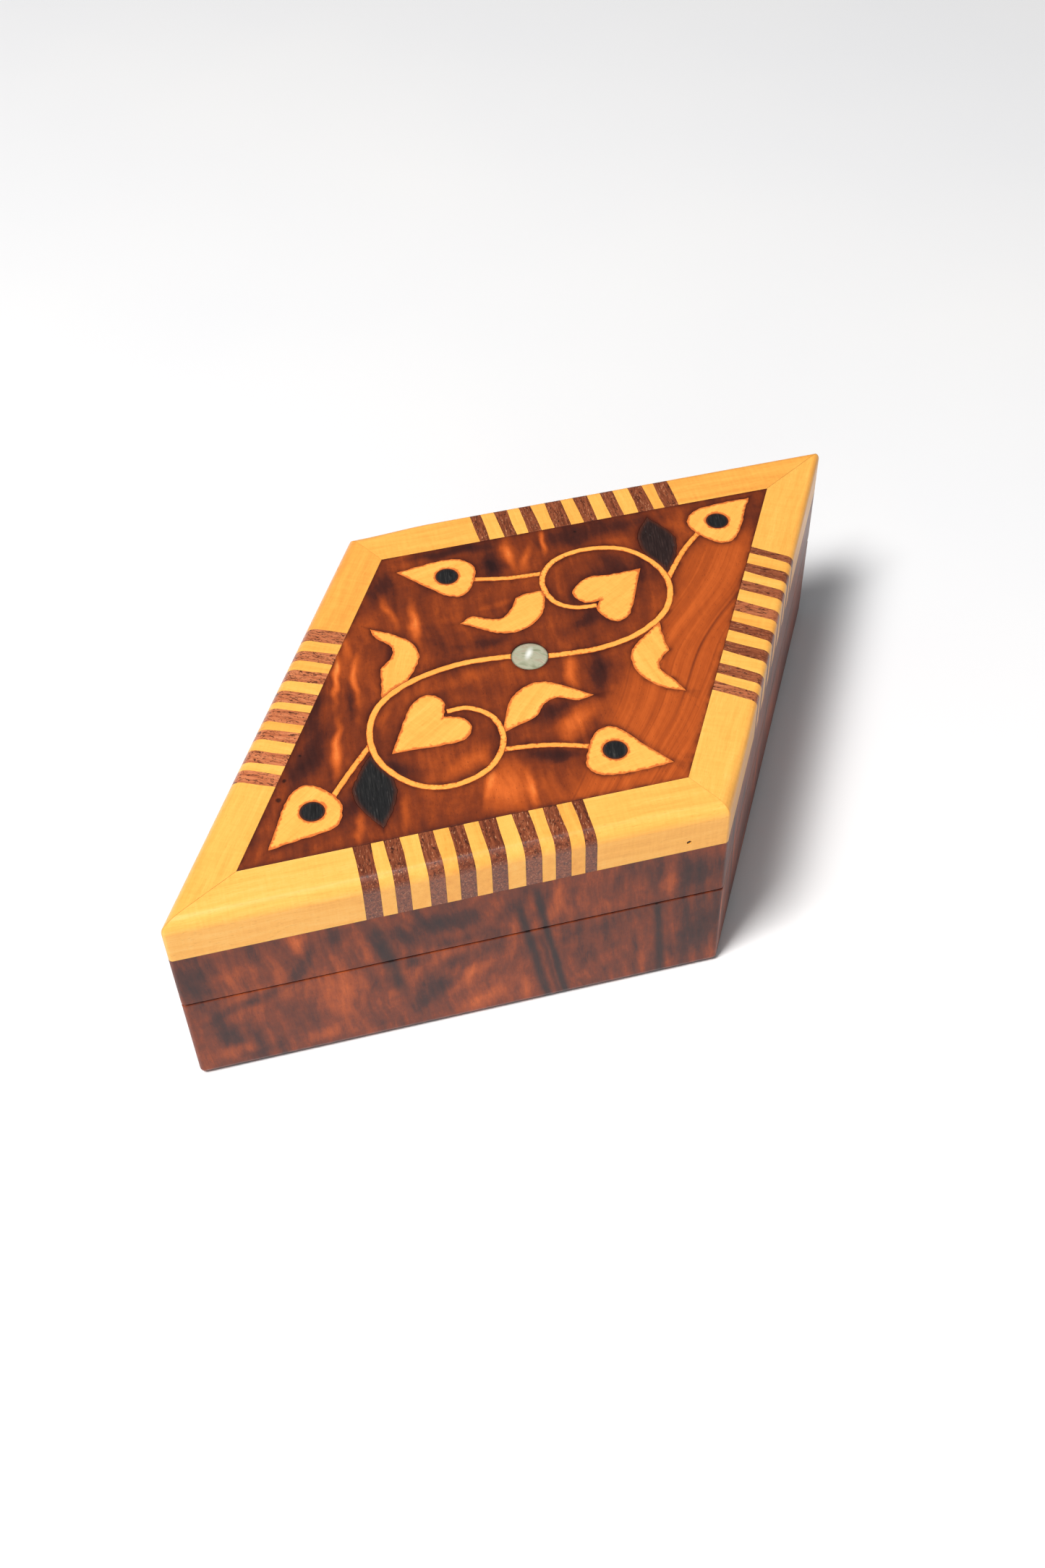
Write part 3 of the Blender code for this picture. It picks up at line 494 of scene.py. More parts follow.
def nacre():
    """Mother-of-pearl: growth bands turning grey green, rose and white, and a painted highlight near the
    middle.
    """
    g = surface("nacre", Roughness=0.24, Coat_Weight=0.5, Coat_Roughness=0.08)
    grain = g.attribute("grain", "Vector")
    warped = g.warp(grain, 0.22, 1.6)
    bands = g.drawn(warped, (0.16, 0.55, 0.4), 3.0, 0.55, -35.0, distortion=0.6)
    colour = g.ramp(bands, [
        (0.25, 112, 110, 88), (0.42, 150, 152, 126), (0.52, 176, 176, 152),
        (0.62, 172, 160, 138), (0.78, 204, 202, 182),
    ])
    # Painted highlight: a soft white patch near the middle stands in for the lamp's reflection on the dome.
    painted_highlight = g.patches(grain, [(1.2, 2.4, 2.6, 1.1, 60.0, 0.9)], 0.0)
    colour = g.stain(colour, g.math("MINIMUM", painted_highlight, 0.85), 244, 244, 238)
    dark = g.step(g.attribute("rim"), 0.0, 1.0, 0.0, 0.75)
    colour = g.stain(colour, dark, 92, 84, 66)
    g.bump(bands, 0.03, 0.3)
    return g.finish(colour)


def brass():
    g = surface("brass_hardware", Metallic=1.0)
    grain = g.node("TexCoord").outputs["Object"]
    brushed = g.drawn(grain, (400.0, 9000.0, 9000.0), 3.0, 0.7)
    tarnish = g.noise(grain, 260.0, 4.0, 0.6)
    colour = g.ramp(tarnish, [(0.3, 176, 134, 70), (0.55, 212, 172, 98), (0.8, 224, 188, 116)])
    g.bump(brushed, 0.01, 0.4)
    return g.finish(colour, tarnish, 0.3, 0.15)


def steel():
    g = surface("dark_steel", Metallic=1.0)
    spots = g.noise(g.node("TexCoord").outputs["Object"], 2500.0, 3.0, 0.6)
    colour = g.ramp(spots, [(0.3, 38, 32, 28), (0.7, 92, 84, 78)])
    g.bump(spots, 0.02, 0.5)
    return g.finish(colour, spots, 0.3, 0.3)


def studio_floor():
    g = surface("studio_floor", Roughness=0.55)
    place = g.node("TexCoord").outputs["Object"]
    soft = g.noise(place, 5.0, 3.0)
    colour = g.ramp(soft, [(0.3, 238, 239, 242), (0.7, 243, 243, 244)])
    g.bump(g.noise(place, 900.0, 2.0), 0.05, 0.2)
    return g.finish(colour)


# The field's figure: x, y, half length, half width, turn, strength
FIELD_MARKS = (
    # thin flames and bright patches
    (-40.5, 6, 13.7, 1.33, 79, 0.46), (-44.2, -14, 12.3, 1.64, 76, 0.48), (-36.4, 5, 10.4, 1.17, 84, 0.29),
    (-37, 16, 7.8, 1.25, 86, 0.26), (-20.8, 18, 11.1, 1.79, 86, 0.44), (-25.5, 23, 9.1, 1.4, 100, 0.22),
    (4.5, 35, 7.8, 2.5, 86, 0.42), (13.2, 36.5, 6.5, 1.17, 84, 0.46), (8.5, 33, 7.8, 1.64, 70, 0.24),
    (-12, -33.5, 11.7, 6.4, 75, 0.3), (-8.2, -35.5, 7.8, 1.72, 84, 0.39), (-15.5, -32, 7.8, 1.72, 70, 0.29),
    (8.5, -4.5, 11.7, 2.5, 84, 0.33), (5.5, -20, 9.1, 4.6, 45, 0.34), (-18.5, -24.5, 9.1, 3.7, 30, 0.25),
    (-13, -1, 13, 3, 8, 0.15), (-43.6, -36, 5.9, 1.8, 80, 0.25), (-33.8, -34.5, 7.8, 1.72, 80, 0.24),
    (-62, -34, 7.8, 2.9, 60, 0.11), (-33, -10, 6.5, 1.79, 70, 0.15), (-2, 19.5, 7.8, 1.79, 10, 0.13),
    # dark clouds
    (26, 37, 20.8, 5.5, 0, -0.32), (-8, 39, 19.5, 2.8, 0, -0.28), (-0.5, 32, 7.8, 3.7, 80, -0.28),
    (24, 18.5, 19.5, 12.6, 20, -0.23), (14.5, -6, 10.4, 3.7, 75, -0.25), (1.5, -16, 9.1, 4.1, 20, -0.3),
    (-51, -16, 13, 5.1, 60, -0.28), (-46.5, -2, 11.7, 2.8, 62, -0.23), (-38.6, -2, 10.4, 1.8, 84, -0.17),
    (-33.5, -22, 9.1, 3.7, -40, -0.25), (-24, -13, 14.3, 9.2, 0, -0.1), (-6, 8.5, 11.7, 2.8, 0, -0.19),
    (-1, -27.5, 9.1, 2.8, -10, -0.27), (-27, 30, 11.7, 3.4, 60, -0.17), (-28, 10, 6.5, 3.4, 80, -0.11),
    (-44, -30, 7.8, 3.4, 60, -0.15), (16, 9, 10.4, 3.4, 30, -0.15),
)
FIELD_KNOTS = ((-56.3, -19.9, 0.6), (-58.3, -24.7, 0.9), (-52.0, -14.0, 0.4), (21.3, 37.9, 0.5))
FIELD_CALM = (21.0, -10.0, 54.0, 0.03)

# The front board's figure, continuous over base and lid: x, z, half length, half width, turn, strength
FRONT_MARKS = (
    # bright streaks and crotch curves
    (-54, 19, 14.3, 8.1, 88, 0.19), (-60.3, 38.5, 5.9, 2.2, 84, 0.24), (-72, 33, 11.7, 5.4, 8, 0.13),
    (-76, 6.5, 10.4, 3.5, 12, 0.21), (-58, 5, 11.7, 4.6, 10, 0.18), (-30, 24.5, 11.7, 4.1, 30, 0.18),
    (-26, 14.5, 11.7, 3.8, 38, 0.22), (-24, 5, 10.4, 4.1, 30, 0.19), (-14.2, 4, 7.8, 2.2, 88, 0.26),
    (-5.5, 34, 11.7, 3, 90, 0.22), (2, 8, 11.7, 4.1, 40, 0.13), (17.4, 34, 7.2, 2.4, 92, 0.21),
    (12.2, 8, 9.1, 2.3, 92, 0.22), (-47, 31, 7.8, 2.2, 95, 0.16),
    # dark smudges
    (-82.5, 34.5, 11.7, 8.1, 80, -0.2), (-78.8, 16, 15.6, 3.5, 90, -0.22), (-71.9, 6, 9.1, 3, 90, -0.2),
    (-71.5, 23, 14.3, 2.7, 24, -0.21), (-61, 31, 9.1, 2.7, 62, -0.18), (-53, 38.5, 10.4, 3.8, 20, -0.18),
    (-31, 36, 15.6, 6.8, 0, -0.18), (-34.5, 12.5, 11.7, 6.8, 60, -0.2), (-19, 30, 11.7, 4.1, 70, -0.14),
    (2, 24, 16.9, 8.1, 0, -0.11), (24, 35, 9.1, 8.1, 60, -0.24), (24.5, 14, 19.5, 8.8, 84, -0.2),
)
FRONT_VEINS = (
    (-45.3, 0.18, 42, 12, 2.5, 0.85), (-11.6, 0.16, 42.5, -9, 1.5, 0.95), (-15.2, 0.17, 38, -9, 1.7, 0.9),
    (-10.2, 0.165, 24, -9, 1, 0.6), (12.4, 0.2, 41, 26, 1.4, 0.4), (15.2, 0.055, 28, -9, 1.8, 0.9),
)
FRONT_KNOTS = ((-42.3, 26.3, 0.8), (-13.0, 26.3, 0.6), (-9.3, 26.4, 0.7), (15.0, 26.0, 0.4))
SIDE_MARKS = (
    (-30, 20, 12, 5, 70, 0.2), (-8, 30, 10, 4, 30, -0.2), (14, 14, 14, 5, 60, 0.18),
    (34, 28, 10, 5, 20, -0.18), (-44, 34, 8, 3, 80, 0.2), (0, 8, 12, 3, 20, -0.16),
)
SIDE_VEINS = ((-22, 0.2, 43, -9, 1.3, 0.85), (26, -0.12, 43, -9, 1.4, 0.85), (29.5, -0.12, 30, -9, 0.8, 0.6))


# ---------------------------------------------------------------- finishing pieces

WORLD_AXES = ((1.0, 0.0, 0.0), (0.0, 1.0, 0.0), (0.0, 0.0, 1.0))


def loft(rows):
    """Vertices and faces of a closed solid through rows of points, each row one section."""
    count = len(rows[0])
    faces = []
    for k in range(len(rows) - 1):
        for i in range(count):
            j = (i + 1) % count
            faces.append((k * count + i, k * count + j, (k + 1) * count + j, (k + 1) * count + i))
    faces.append(tuple(range(count)))
    faces.append(tuple(range((len(rows) - 1) * count, len(rows) * count)))
    return [place for row in rows for place in row], faces


def circle(centre, diameter, segments=48):
    """Plan points round a circle."""
    turns = [2.0 * math.pi * i / segments for i in range(segments)]
    return [Vector((centre[0] + diameter / 2.0 * math.cos(a), centre[1] + diameter / 2.0 * math.sin(a)))
            for a in turns]


def round_rows(centre, profile, segments):
    """Rows of points of a turned piece, upright at `centre`, through (radius, z) pairs."""
    return [[(p.x, p.y, z) for p in circle(centre, 2.0 * radius, segments)] for radius, z in profile]


def mesh_object(name, vertices, faces):
    """A named object from vertices in millimetres in the row frame."""
    mesh = bpy.data.meshes.new(name)
    mesh.from_pydata([Vector(v) * MM for v in vertices], [], faces)
    tidy = bmesh.new()
    tidy.from_mesh(mesh)
    bmesh.ops.recalc_face_normals(tidy, faces=tidy.faces)
    tidy.to_mesh(mesh)
    tidy.free()
    obj = bpy.data.objects.new(name, mesh)
    bpy.context.scene.collection.objects.link(obj)
    return obj


def cut(obj, vertices, faces):
    """Cut a closed solid, given as for mesh_object, out of obj."""
    tool = mesh_object("cutter", vertices, faces)
    change = obj.modifiers.new("cut", "BOOLEAN")
    change.operation = "DIFFERENCE"
    change.solver = "EXACT"
    change.object = tool
    bpy.context.view_layer.update()
    result = bpy.data.meshes.new_from_object(obj.evaluated_get(bpy.context.evaluated_depsgraph_get()))
    obj.modifiers.remove(change)
    old, spent = obj.data, tool.data
    obj.data = result
    bpy.data.objects.remove(tool)
    bpy.data.meshes.remove(spent)
    bpy.data.meshes.remove(old)


def paint(obj, name, kind, values):
    attribute = obj.data.attributes.get(name) or obj.data.attributes.new(name, kind, "POINT")
    key = "vector" if kind == "FLOAT_VECTOR" else "value"
    attribute.data.foreach_set(key, np.asarray(values, np.float32).ravel())


def settle(obj, body, node, material, axes=WORLD_AXES, shift=(0.0, 0.0, 0.0), tone=0.0, rim=None,
           smooth=32.0):
    """Give a finished mesh its grain, tone and material, and tie it to the CAD."""
    points = np.array([v.co for v in obj.data.vertices]) / MM
    rows = np.array([Vector(axis) for axis in axes])
    paint(obj, "grain", "FLOAT_VECTOR", points @ rows.T + np.array(shift))
    paint(obj, "tone", "FLOAT", np.full(len(points), tone))
    paint(obj, "rim", "FLOAT", np.zeros(len(points)) if rim is None else rim(points))
    obj.data.materials.clear()
    obj.data.materials.append(material)
    obj.data.shade_smooth()
    obj.data.set_sharp_from_angle(angle=math.radians(smooth))
    flats = obj.modifiers.new("flats_keep_their_normals", "WEIGHTED_NORMAL")
    flats.keep_sharp = True
    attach(obj, body)
    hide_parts(node)
    return obj


def spread(index, reach=400.0):
    """A grain shift that differs from piece to piece."""
    return tuple(reach * math.sin(12.9 * index + 78.2 * k) for k in range(3))


# ---------------------------------------------------------------- plan geometry

def corner(index, offset):
    """Corner of the field rhombus grown outwards by `offset`: 0 front left, then anticlockwise."""
    half = ACUTE_ANGLE / 2.0
    sine, cosine = math.sin(half), math.cos(half)
    far = Vector((cosine, sine)) * (FIELD_SIDE * cosine + offset / sine)
    near_by = Vector((-sine, cosine)) * (FIELD_SIDE * sine + offset / cosine)
    return (-far, -near_by, far, near_by)[index]


def rhombus(offset):
    return [corner(i, offset) for i in range(4)]


class Side:
    """One side of the box: u runs along it from its middle, v outwards from the field's edge."""

    def __init__(self, name):
        index = SIDES.index(name)
        first = corner(index, 0.0)
        second = corner((index + 1) % 4, 0.0)
        self.along = (second - first).normalized()
        self.out = Vector((self.along.y, -self.along.x))
        self.middle = (first + second) / 2.0
        first_half = ACUTE_ANGLE / 2.0 if index % 2 == 0 else (math.pi - ACUTE_ANGLE) / 2.0
        self.half_angles = (first_half, math.pi / 2.0 - first_half)

    def point(self, u, v, z):
        place = self.middle + self.along * u + self.out * v
        return (place.x, place.y, z)

    def axes(self):
        """Grain axes along the side, outwards and up."""
        return (self.along.to_3d(), self.out.to_3d(), Vector((0.0, 0.0, 1.0)))

    def mitre_stations(self, profile, end, line):
        """Rows of (u, v, z) that carry a section round half of an eased corner, ending on the mitre."""
        half = self.half_angles[end]
        sign = -1.0 if end == 0 else 1.0
        radius = VERTICAL_EDGE_RADIUS
        steps = 5

        def reach(v):
            return FIELD_SIDE / 2.0 + v / math.tan(half) - line / 2.0 / math.sin(half)

        centre_v = FRAME_WIDTH - radius
        rows = []
        for step in range(steps + 1):
            turn = (math.pi / 2.0 - half) * step / steps
            row = []
            for v, z in profile:
                left_over = radius - (FRAME_WIDTH - v)
                if left_over > 1e-6:
                    row.append((sign * (reach(centre_v) + left_over * math.sin(turn)),
                                centre_v + left_over * math.cos(turn), z))
                else:
                    row.append((sign * (reach(v) - 0.4 * (1.0 - step / steps)), v, z))
            rows.append(row)
        return rows

    def sweep(self, name, rows):
        """A closed length through rows of (u, v, z), each row one section."""
        return mesh_object(name, *loft([[self.point(*place) for place in row] for row in rows]))


def arc(centre, radius, first, last, steps):
    """Points on an arc between two angles in degrees."""
    angles = [math.radians(first + (last - first) * i / steps) for i in range(steps + 1)]
    return [(centre[0] + radius * math.cos(a), centre[1] + radius * math.sin(a)) for a in angles]


# ---------------------------------------------------------------- walls, floor and lipping

def wall_section(is_base):
    outer, inner = FRAME_WIDTH, FRAME_WIDTH - WALL
    ease = 0.5
    if is_base:
        top = SPLIT - SPLIT_GAP / 2.0
        section = [(inner, 0.0)]
        section += arc((outer - BOTTOM_RADIUS, BOTTOM_RADIUS), BOTTOM_RADIUS, -90.0, 0.0, 8)
        section += arc((outer - SPLIT_RADIUS, top - SPLIT_RADIUS), SPLIT_RADIUS, 0.0, 90.0, 4)
        section += arc((inner + ease, top - ease), ease, 90.0, 180.0, 3)
    else:
        bottom, top = SPLIT + SPLIT_GAP / 2.0, FRAME_BOTTOM - GLUE_LINE
        section = arc((inner + ease, bottom + ease), ease, 180.0, 270.0, 3)
        section += arc((outer - SPLIT_RADIUS, bottom + SPLIT_RADIUS), SPLIT_RADIUS, -90.0, 0.0, 4)
        section += [(outer, top), (inner, top)]
    return section


def block(low, high):
    """Vertices and faces of a plain cutter box."""
    plan = ((low[0], low[1]), (high[0], low[1]), (high[0], high[1]), (low[0], high[1]))
    return loft([[(x, y, z) for x, y in plan] for z in (low[2], high[2])])


def hinge_y():
    return corner(2, FRAME_WIDTH).y - HINGE_INSET


def back_groove():
    """The V cut along the hinge axis that lets the lid turn back."""
    reach = HINGE_INSET + 1.0
    rise = reach * math.tan(STOP_ANGLE / 2.0)
    end = corner(2, FRAME_WIDTH).x + 1.0
    face = hinge_y() + reach
    section = ((hinge_y(), SPLIT), (face, SPLIT - rise), (face, SPLIT + rise))
    return loft([[(x, y, z) for y, z in section] for x in (-end, end)])


def cut_hinge_seats(wall, owner):
    """The leaf mortises and the knuckles' relief in a back wall."""
    direction = 1.0 if owner == "lid" else -1.0
    low_z, high_z = sorted((SPLIT - direction, SPLIT + direction * SEAT_DEPTH))
    knuckle = circle((hinge_y(), SPLIT), 2.0 * KNUCKLE_RELIEF, 32)
    for x in HINGE_PLACES.values():
        first, last = x - SEAT_HALF_LENGTH, x + SEAT_HALF_LENGTH
        cut(wall, *block((first, hinge_y() - SEAT_WIDTH, low_z), (last, hinge_y(), high_z)))
        cut(wall, *loft([[(end, p.x, p.y) for p in knuckle] for end in (first, last)]))


def build_walls(front, other):
    """The four mitred walls of the base and of the lid."""
    for owner in ("base", "lid"):
        section = wall_section(owner == "base")
        for number, name in enumerate(SIDES):
            side = Side(name)
            rows = list(reversed(side.mitre_stations(section, 0, GLUE_LINE)))
            rows += side.mitre_stations(section, 1, GLUE_LINE)
            wall = side.sweep(f"{name}_wall_{owner}", rows)
            along, out, up = side.axes()
            if name == "front":
                board, axes, shift = front, ((1, 0, 0), (0, 0, 1), (0, 1, 0)), (0.0, 0.0, 0.0)
            else:
                board, axes, shift = other, (along, up, out), (0.0, 0.0, 70.0 * number)
                cut(wall, *back_groove())
            if name == "back":
                cut_hinge_seats(wall, owner)
            settle(wall, owner, f"{owner}_{name}_wall", board, axes, shift)


def frame_section(radius):
    """The lipping's section, anticlockwise from its lower inner edge, its upper outer edge rounded."""
    outer = FRAME_WIDTH
    section = [(0.0, FRAME_BOTTOM), (outer, FRAME_BOTTOM), (outer, FRAME_BOTTOM + 4.0)]
    section += arc((outer - radius, TOP - radius), radius, 0.0, 90.0, 12)
    section += [(4.0, TOP), (0.06, TOP), (0.0, TOP - 0.05)]
    return section


def edge_radius(name, u):
    """The sanded radius of the top edge: full on the front and left, smaller on the right and back."""
    if name in ("front", "left"):
        return TOP_RADIUS
    from_full_corner = FIELD_SIDE / 2.0 + (u if name == "right" else -u)
    share = min(1.0, max(0.0, from_full_corner / RADIUS_BLEND))
    return TOP_RADIUS + (FAR_TOP_RADIUS - TOP_RADIUS) * share ** 2 * (3.0 - 2.0 * share)


def strip_joints(name):
    """The sixteen joints of a side's block as functions of v, in its own u, from first to last."""
    side = Side(name)
    places, (first_shift, last_shift) = STRIP_JOINTS[name]
    sign = 1.0 if name in ("front", "right") else -1.0
    origin = side.middle.x if name in ("front", "back") else 0.0
    joints = []
    for k, place in enumerate(places):
        shift = first_shift + (last_shift - first_shift) * k / (len(places) - 1)
        inner = sign * (place - origin)
        outer = inner + sign * shift

        def joint(v, inner=inner, outer=outer, phase=k):
            share = v / FRAME_WIDTH
            wander = 0.11 * math.sin(2.6 * share + 2.3 * phase) + 0.05 * math.sin(7.1 * share + 1.7 * phase)
            return inner + (outer - inner) * share + wander

        joints.append(joint)
    return joints if sign > 0.0 else joints[::-1]


STRIP_TONES = {
    "front": (0.0, 0.05, 0.1, 0.0, 0.0, 0.08, 0.05, 0.0),
    "right": (0.55, 0.25, 0.15, 0.1, 0.55, 0.3, 0.2, 0.15),
    "back": (0.1, 0.08, 0.12, 0.1, 0.14, 0.1, 0.12, 0.1),
    "left": (0.7, 0.75, 0.8, 0.75, 0.8, 0.85, 0.8, 0.85),
}
RAIL_TONES = {"front": (0.12, 0.06), "right": (0.05, 0.0), "back": (-0.12, -0.05), "left": (-0.18, 0.02)}


def build_lipping(light, dark):
    """The lid's mitred frame: two lengths and fifteen strips on each side."""
    half = GLUE_LINE / 2.0
    for number, name in enumerate(SIDES):
        side = Side(name)
        joints = strip_joints(name)
        along, out, up = side.axes()

        def row(joint, shift):
            section = frame_section(edge_radius(name, joint(0.0)))
            return [(joint(v) + shift, v, z) for v, z in section]

        def mitre(end):
            u = (end - 0.5) * FIELD_SIDE
            return side.mitre_stations(frame_section(edge_radius(name, u)), end, MITRE_LINE)

        def between(station, joint):
            """Rows from a mitre's first station to a joint, a few millimetres apart."""
            rows = []
            for step in range(1, 8):
                share = step / 8.0
                middle = [a[0] + (joint(a[1]) - a[0]) * share for a in station]
                section = frame_section(edge_radius(name, middle[0]))
                rows.append([(u, v, z) for u, (v, z) in zip(middle, section)])
            return rows

        start, finish = mitre(0), mitre(1)
        first = list(reversed(start)) + between(start[0], joints[0]) + [row(joints[0], -half)]
        last = [row(joints[-1], half)] + list(reversed(between(finish[0], joints[-1]))) + finish
        for part, rows in enumerate((first, last)):
            mark = ("first", "second")[part]
            rail = side.sweep(f"rail_{name}_{mark}", rows)
            if (name, mark) == ("front", "second"):
                drill_brad_hole(rail)
            settle(rail, "lid", f"frame_{name}_{mark}", light, (along, out, up),
                   spread(2 * number + part), RAIL_TONES[name][part])
        for k in range(len(joints) - 1):
            strip = side.sweep(f"strip_{name}_{k + 1:02d}", [row(joints[k], half), row(joints[k + 1], -half)])
            material, tone = dark, STRIP_TONES[name][k // 2]
            if k % 2:
                material, tone = light, 0.1 * math.sin(2.3 * k + number)
            settle(strip, "lid", f"striped_block_{name}", material, (out, along, up),
                   spread(40 * number + k), tone)


def brad_rows(profile):
    """Rows of points round the brad's axis, through (radius, depth under the face) pairs."""
    face = corner(0, FRAME_WIDTH).y
    return [[(p.x, face + depth, p.y) for p in circle(BRAD_PLACE, 2.0 * radius, BRAD_SEGMENTS)]
            for radius, depth in profile]


def drill_brad_hole(rail):
    radius = BRAD_RADIUS + 0.06
    cut(rail, *loft(brad_rows([(radius, -1.0), (radius, 3.0)])))


def build_brad(material):
    """A nail's small domed head, punched a little below the face."""
    profile = [(0.05, 0.16), (0.25, 0.17), (0.38, 0.22), (BRAD_RADIUS, 0.34), (BRAD_RADIUS, 2.6), (0.1, 2.7)]
    settle(mesh_object("brad_head", *loft(brad_rows(profile))), "lid", "brad", material)


def build_floor_board(material):
    """The base's bottom board, its edges eased against the walls."""
    edge = FRAME_WIDTH - WALL - 0.05
    levels = ((edge - 0.15, 0.0), (edge, 0.15), (edge, FLOOR_TOP - 0.3), (edge - 0.3, FLOOR_TOP))
    rows = [[(p.x, p.y, z) for p in rhombus(offset)] for offset, z in levels]
    settle(mesh_object("floor_board", *loft(rows)), "base", "base_floor", material,
           shift=(110.0, 60.0, 0.0))


# ---------------------------------------------------------------- flat shapes

def smooth_run(knots, samples):
    """Points on a Catmull-Rom curve through `knots`, both ends included."""
    points = [Vector(k) for k in knots]
    padded = [points[0] * 2.0 - points[1]] + points + [points[-1] * 2.0 - points[-2]]
    run = []
    for i in range(1, len(padded) - 2):
        p0, p1, p2, p3 = padded[i - 1:i + 3]
        for step in range(samples):
            t = step / samples
            run.append(0.5 * (2.0 * p1 + (p2 - p0) * t + (2.0 * p0 - 5.0 * p1 + 4.0 * p2 - p3) * t ** 2
                              + (3.0 * p1 - p0 - 3.0 * p2 + p3) * t ** 3))
    run.append(points[-1])
    return run


def closed_outline(runs, grow=0.0, samples=6):
    """The outline that the smooth runs make, anticlockwise, grown outwards by `grow`."""
    points = []
    for run in runs:
        points.extend(smooth_run(run, samples)[:-1])
    area = sum(a.x * b.y - b.x * a.y for a, b in zip(points, points[1:] + points[:1]))
    if area < 0.0:
        points.reverse()
    return grown(hand_cut(points), grow) if grow else hand_cut(points)


def hand_cut(points):
    """The small wander of a fretsaw: each point moves by up to about a tenth."""
    moved = []
    for point in points:
        push = math.sin(3.1 * point.x + 1.7 * point.y) + 0.6 * math.sin(7.3 * point.x - 5.9 * point.y)
        lean = math.sin(2.3 * point.x - 4.1 * point.y)
        moved.append(point + Vector((0.085 * push, 0.095 * lean)))
    return moved


def grown(points, amount):
    """An anticlockwise outline moved outwards; sharp corners are held to twice the amount."""
    moved = []
    count = len(points)
    for i, point in enumerate(points):
        before = (point - points[i - 1]).normalized()
        after = (points[(i + 1) % count] - point).normalized()
        normal = Vector((before.y + after.y, -before.x - after.x)).normalized()
        stretch = 1.0 / max(0.5, normal.dot(Vector((after.y, -after.x))))
        moved.append(point + normal * (amount * stretch))
    return moved


def ribbon(knots, width_start, width_end, grow=0.0, samples=8):
    """The outline of a line of changing width along the smooth curve through `knots`."""
    path = smooth_run(knots, samples)
    left, right = [], []
    last = len(path) - 1
    for i, point in enumerate(path):
        ahead = path[min(i + 1, last)] - path[max(i - 1, 0)]
        across = Vector((-ahead.y, ahead.x)).normalized()
        wander = 0.05 * math.sin(1.9 * i) + 0.03 * math.sin(4.7 * i + 1.0)
        half = (width_start + (width_end - width_start) * i / last) / 2.0 + grow
        left.append(point + across * (half + wander))
        right.append(point - across * (half + 0.04 * math.sin(2.7 * i + 2.0)))
    if grow:
        for row in (left, right):
            row[0] = row[0] + (path[0] - path[1]).normalized() * grow
            row[-1] = row[-1] + (path[-1] - path[-2]).normalized() * grow
    return right + list(reversed(left))


def pocket_outlines(grow):
    """Every inlay's outline by name, grown for its pocket."""
    found = {"pearl": circle(PEARL_CENTRE, PEARL_DIAMETER + 2.0 * grow)}
    for name, knots in SCROLLS.items():
        found[name] = ribbon(knots, *SCROLL_WIDTHS, grow)
    for name, knots in STEMS.items():
        found[name] = ribbon(knots, STEM_WIDTH, STEM_WIDTH, grow)
    for name, runs in {**TEARDROPS, **HEARTS, **EBONY_LEAVES, **CURLED_LEAVES}.items():
        found[name] = closed_outline(runs, grow)
    return found


def region(outline, holes, smallest):
    """Boundary segments of an outline less others, inside on their left.

    Parts with an area under `smallest` are dropped, or all but the largest where it is None.
    """
    vertices, faces = [], []
    for loop in [outline] + holes:
        faces.append(list(range(len(vertices), len(vertices) + len(loop))))
        vertices += [Vector(p) for p in loop]
    points, _, triangles, _, _, origins = delaunay_2d_cdt(vertices, [], faces, 0, 1e-5)
    kept = [tuple(t) for t, origin in zip(triangles, origins) if list(origin) == [0]]
    owner = list(range(len(kept)))

    def root(i):
        while owner[i] != i:
            i = owner[i]
        return i

    shared = {}
    for i, triangle in enumerate(kept):
        for a, b in zip(triangle, triangle[1:] + triangle[:1]):
            key = frozenset((a, b))
            if key in shared:
                owner[root(i)] = root(shared[key])
            shared[key] = i
    areas = defaultdict(float)
    for i, (a, b, c) in enumerate(kept):
        first, second = points[b] - points[a], points[c] - points[a]
        areas[root(i)] += abs(first.x * second.y - first.y * second.x) / 2.0
    limit = smallest if smallest else max(areas.values())
    edges = {}
    for i, triangle in enumerate(kept):
        if areas[root(i)] < limit:
            continue
        for a, b in zip(triangle, triangle[1:] + triangle[:1]):
            if (b, a) in edges:
                del edges[(b, a)]
            else:
                edges[(a, b)] = True
    return np.array([[points[a][:], points[b][:]] for a, b in edges])


def near(points, segments):
    """Each point's distance to the segments, and whether it lies inside them."""
    start, end = segments[:, 0], segments[:, 1]
    run = end - start
    square = np.maximum((run ** 2).sum(1), 1e-12)
    distances, inside = [], []
    for part in np.array_split(points, max(1, len(points) // 1500)):
        offset = part[:, None] - start[None]
        share = np.clip((offset * run).sum(2) / square, 0.0, 1.0)
        distances.append(np.sqrt(((offset - share[..., None] * run) ** 2).sum(2).min(1)))
        y = part[:, 1, None]
        crosses = (start[:, 1] > y) != (end[:, 1] > y)
        rise = np.where(end[:, 1] == start[:, 1], 1.0, end[:, 1] - start[:, 1])
        at = start[:, 0] + (y - start[:, 1]) * run[:, 0] / rise
        inside.append((crosses & (part[:, 0, None] < at)).sum(1) % 2 == 1)
    return np.concatenate(distances), np.concatenate(inside)


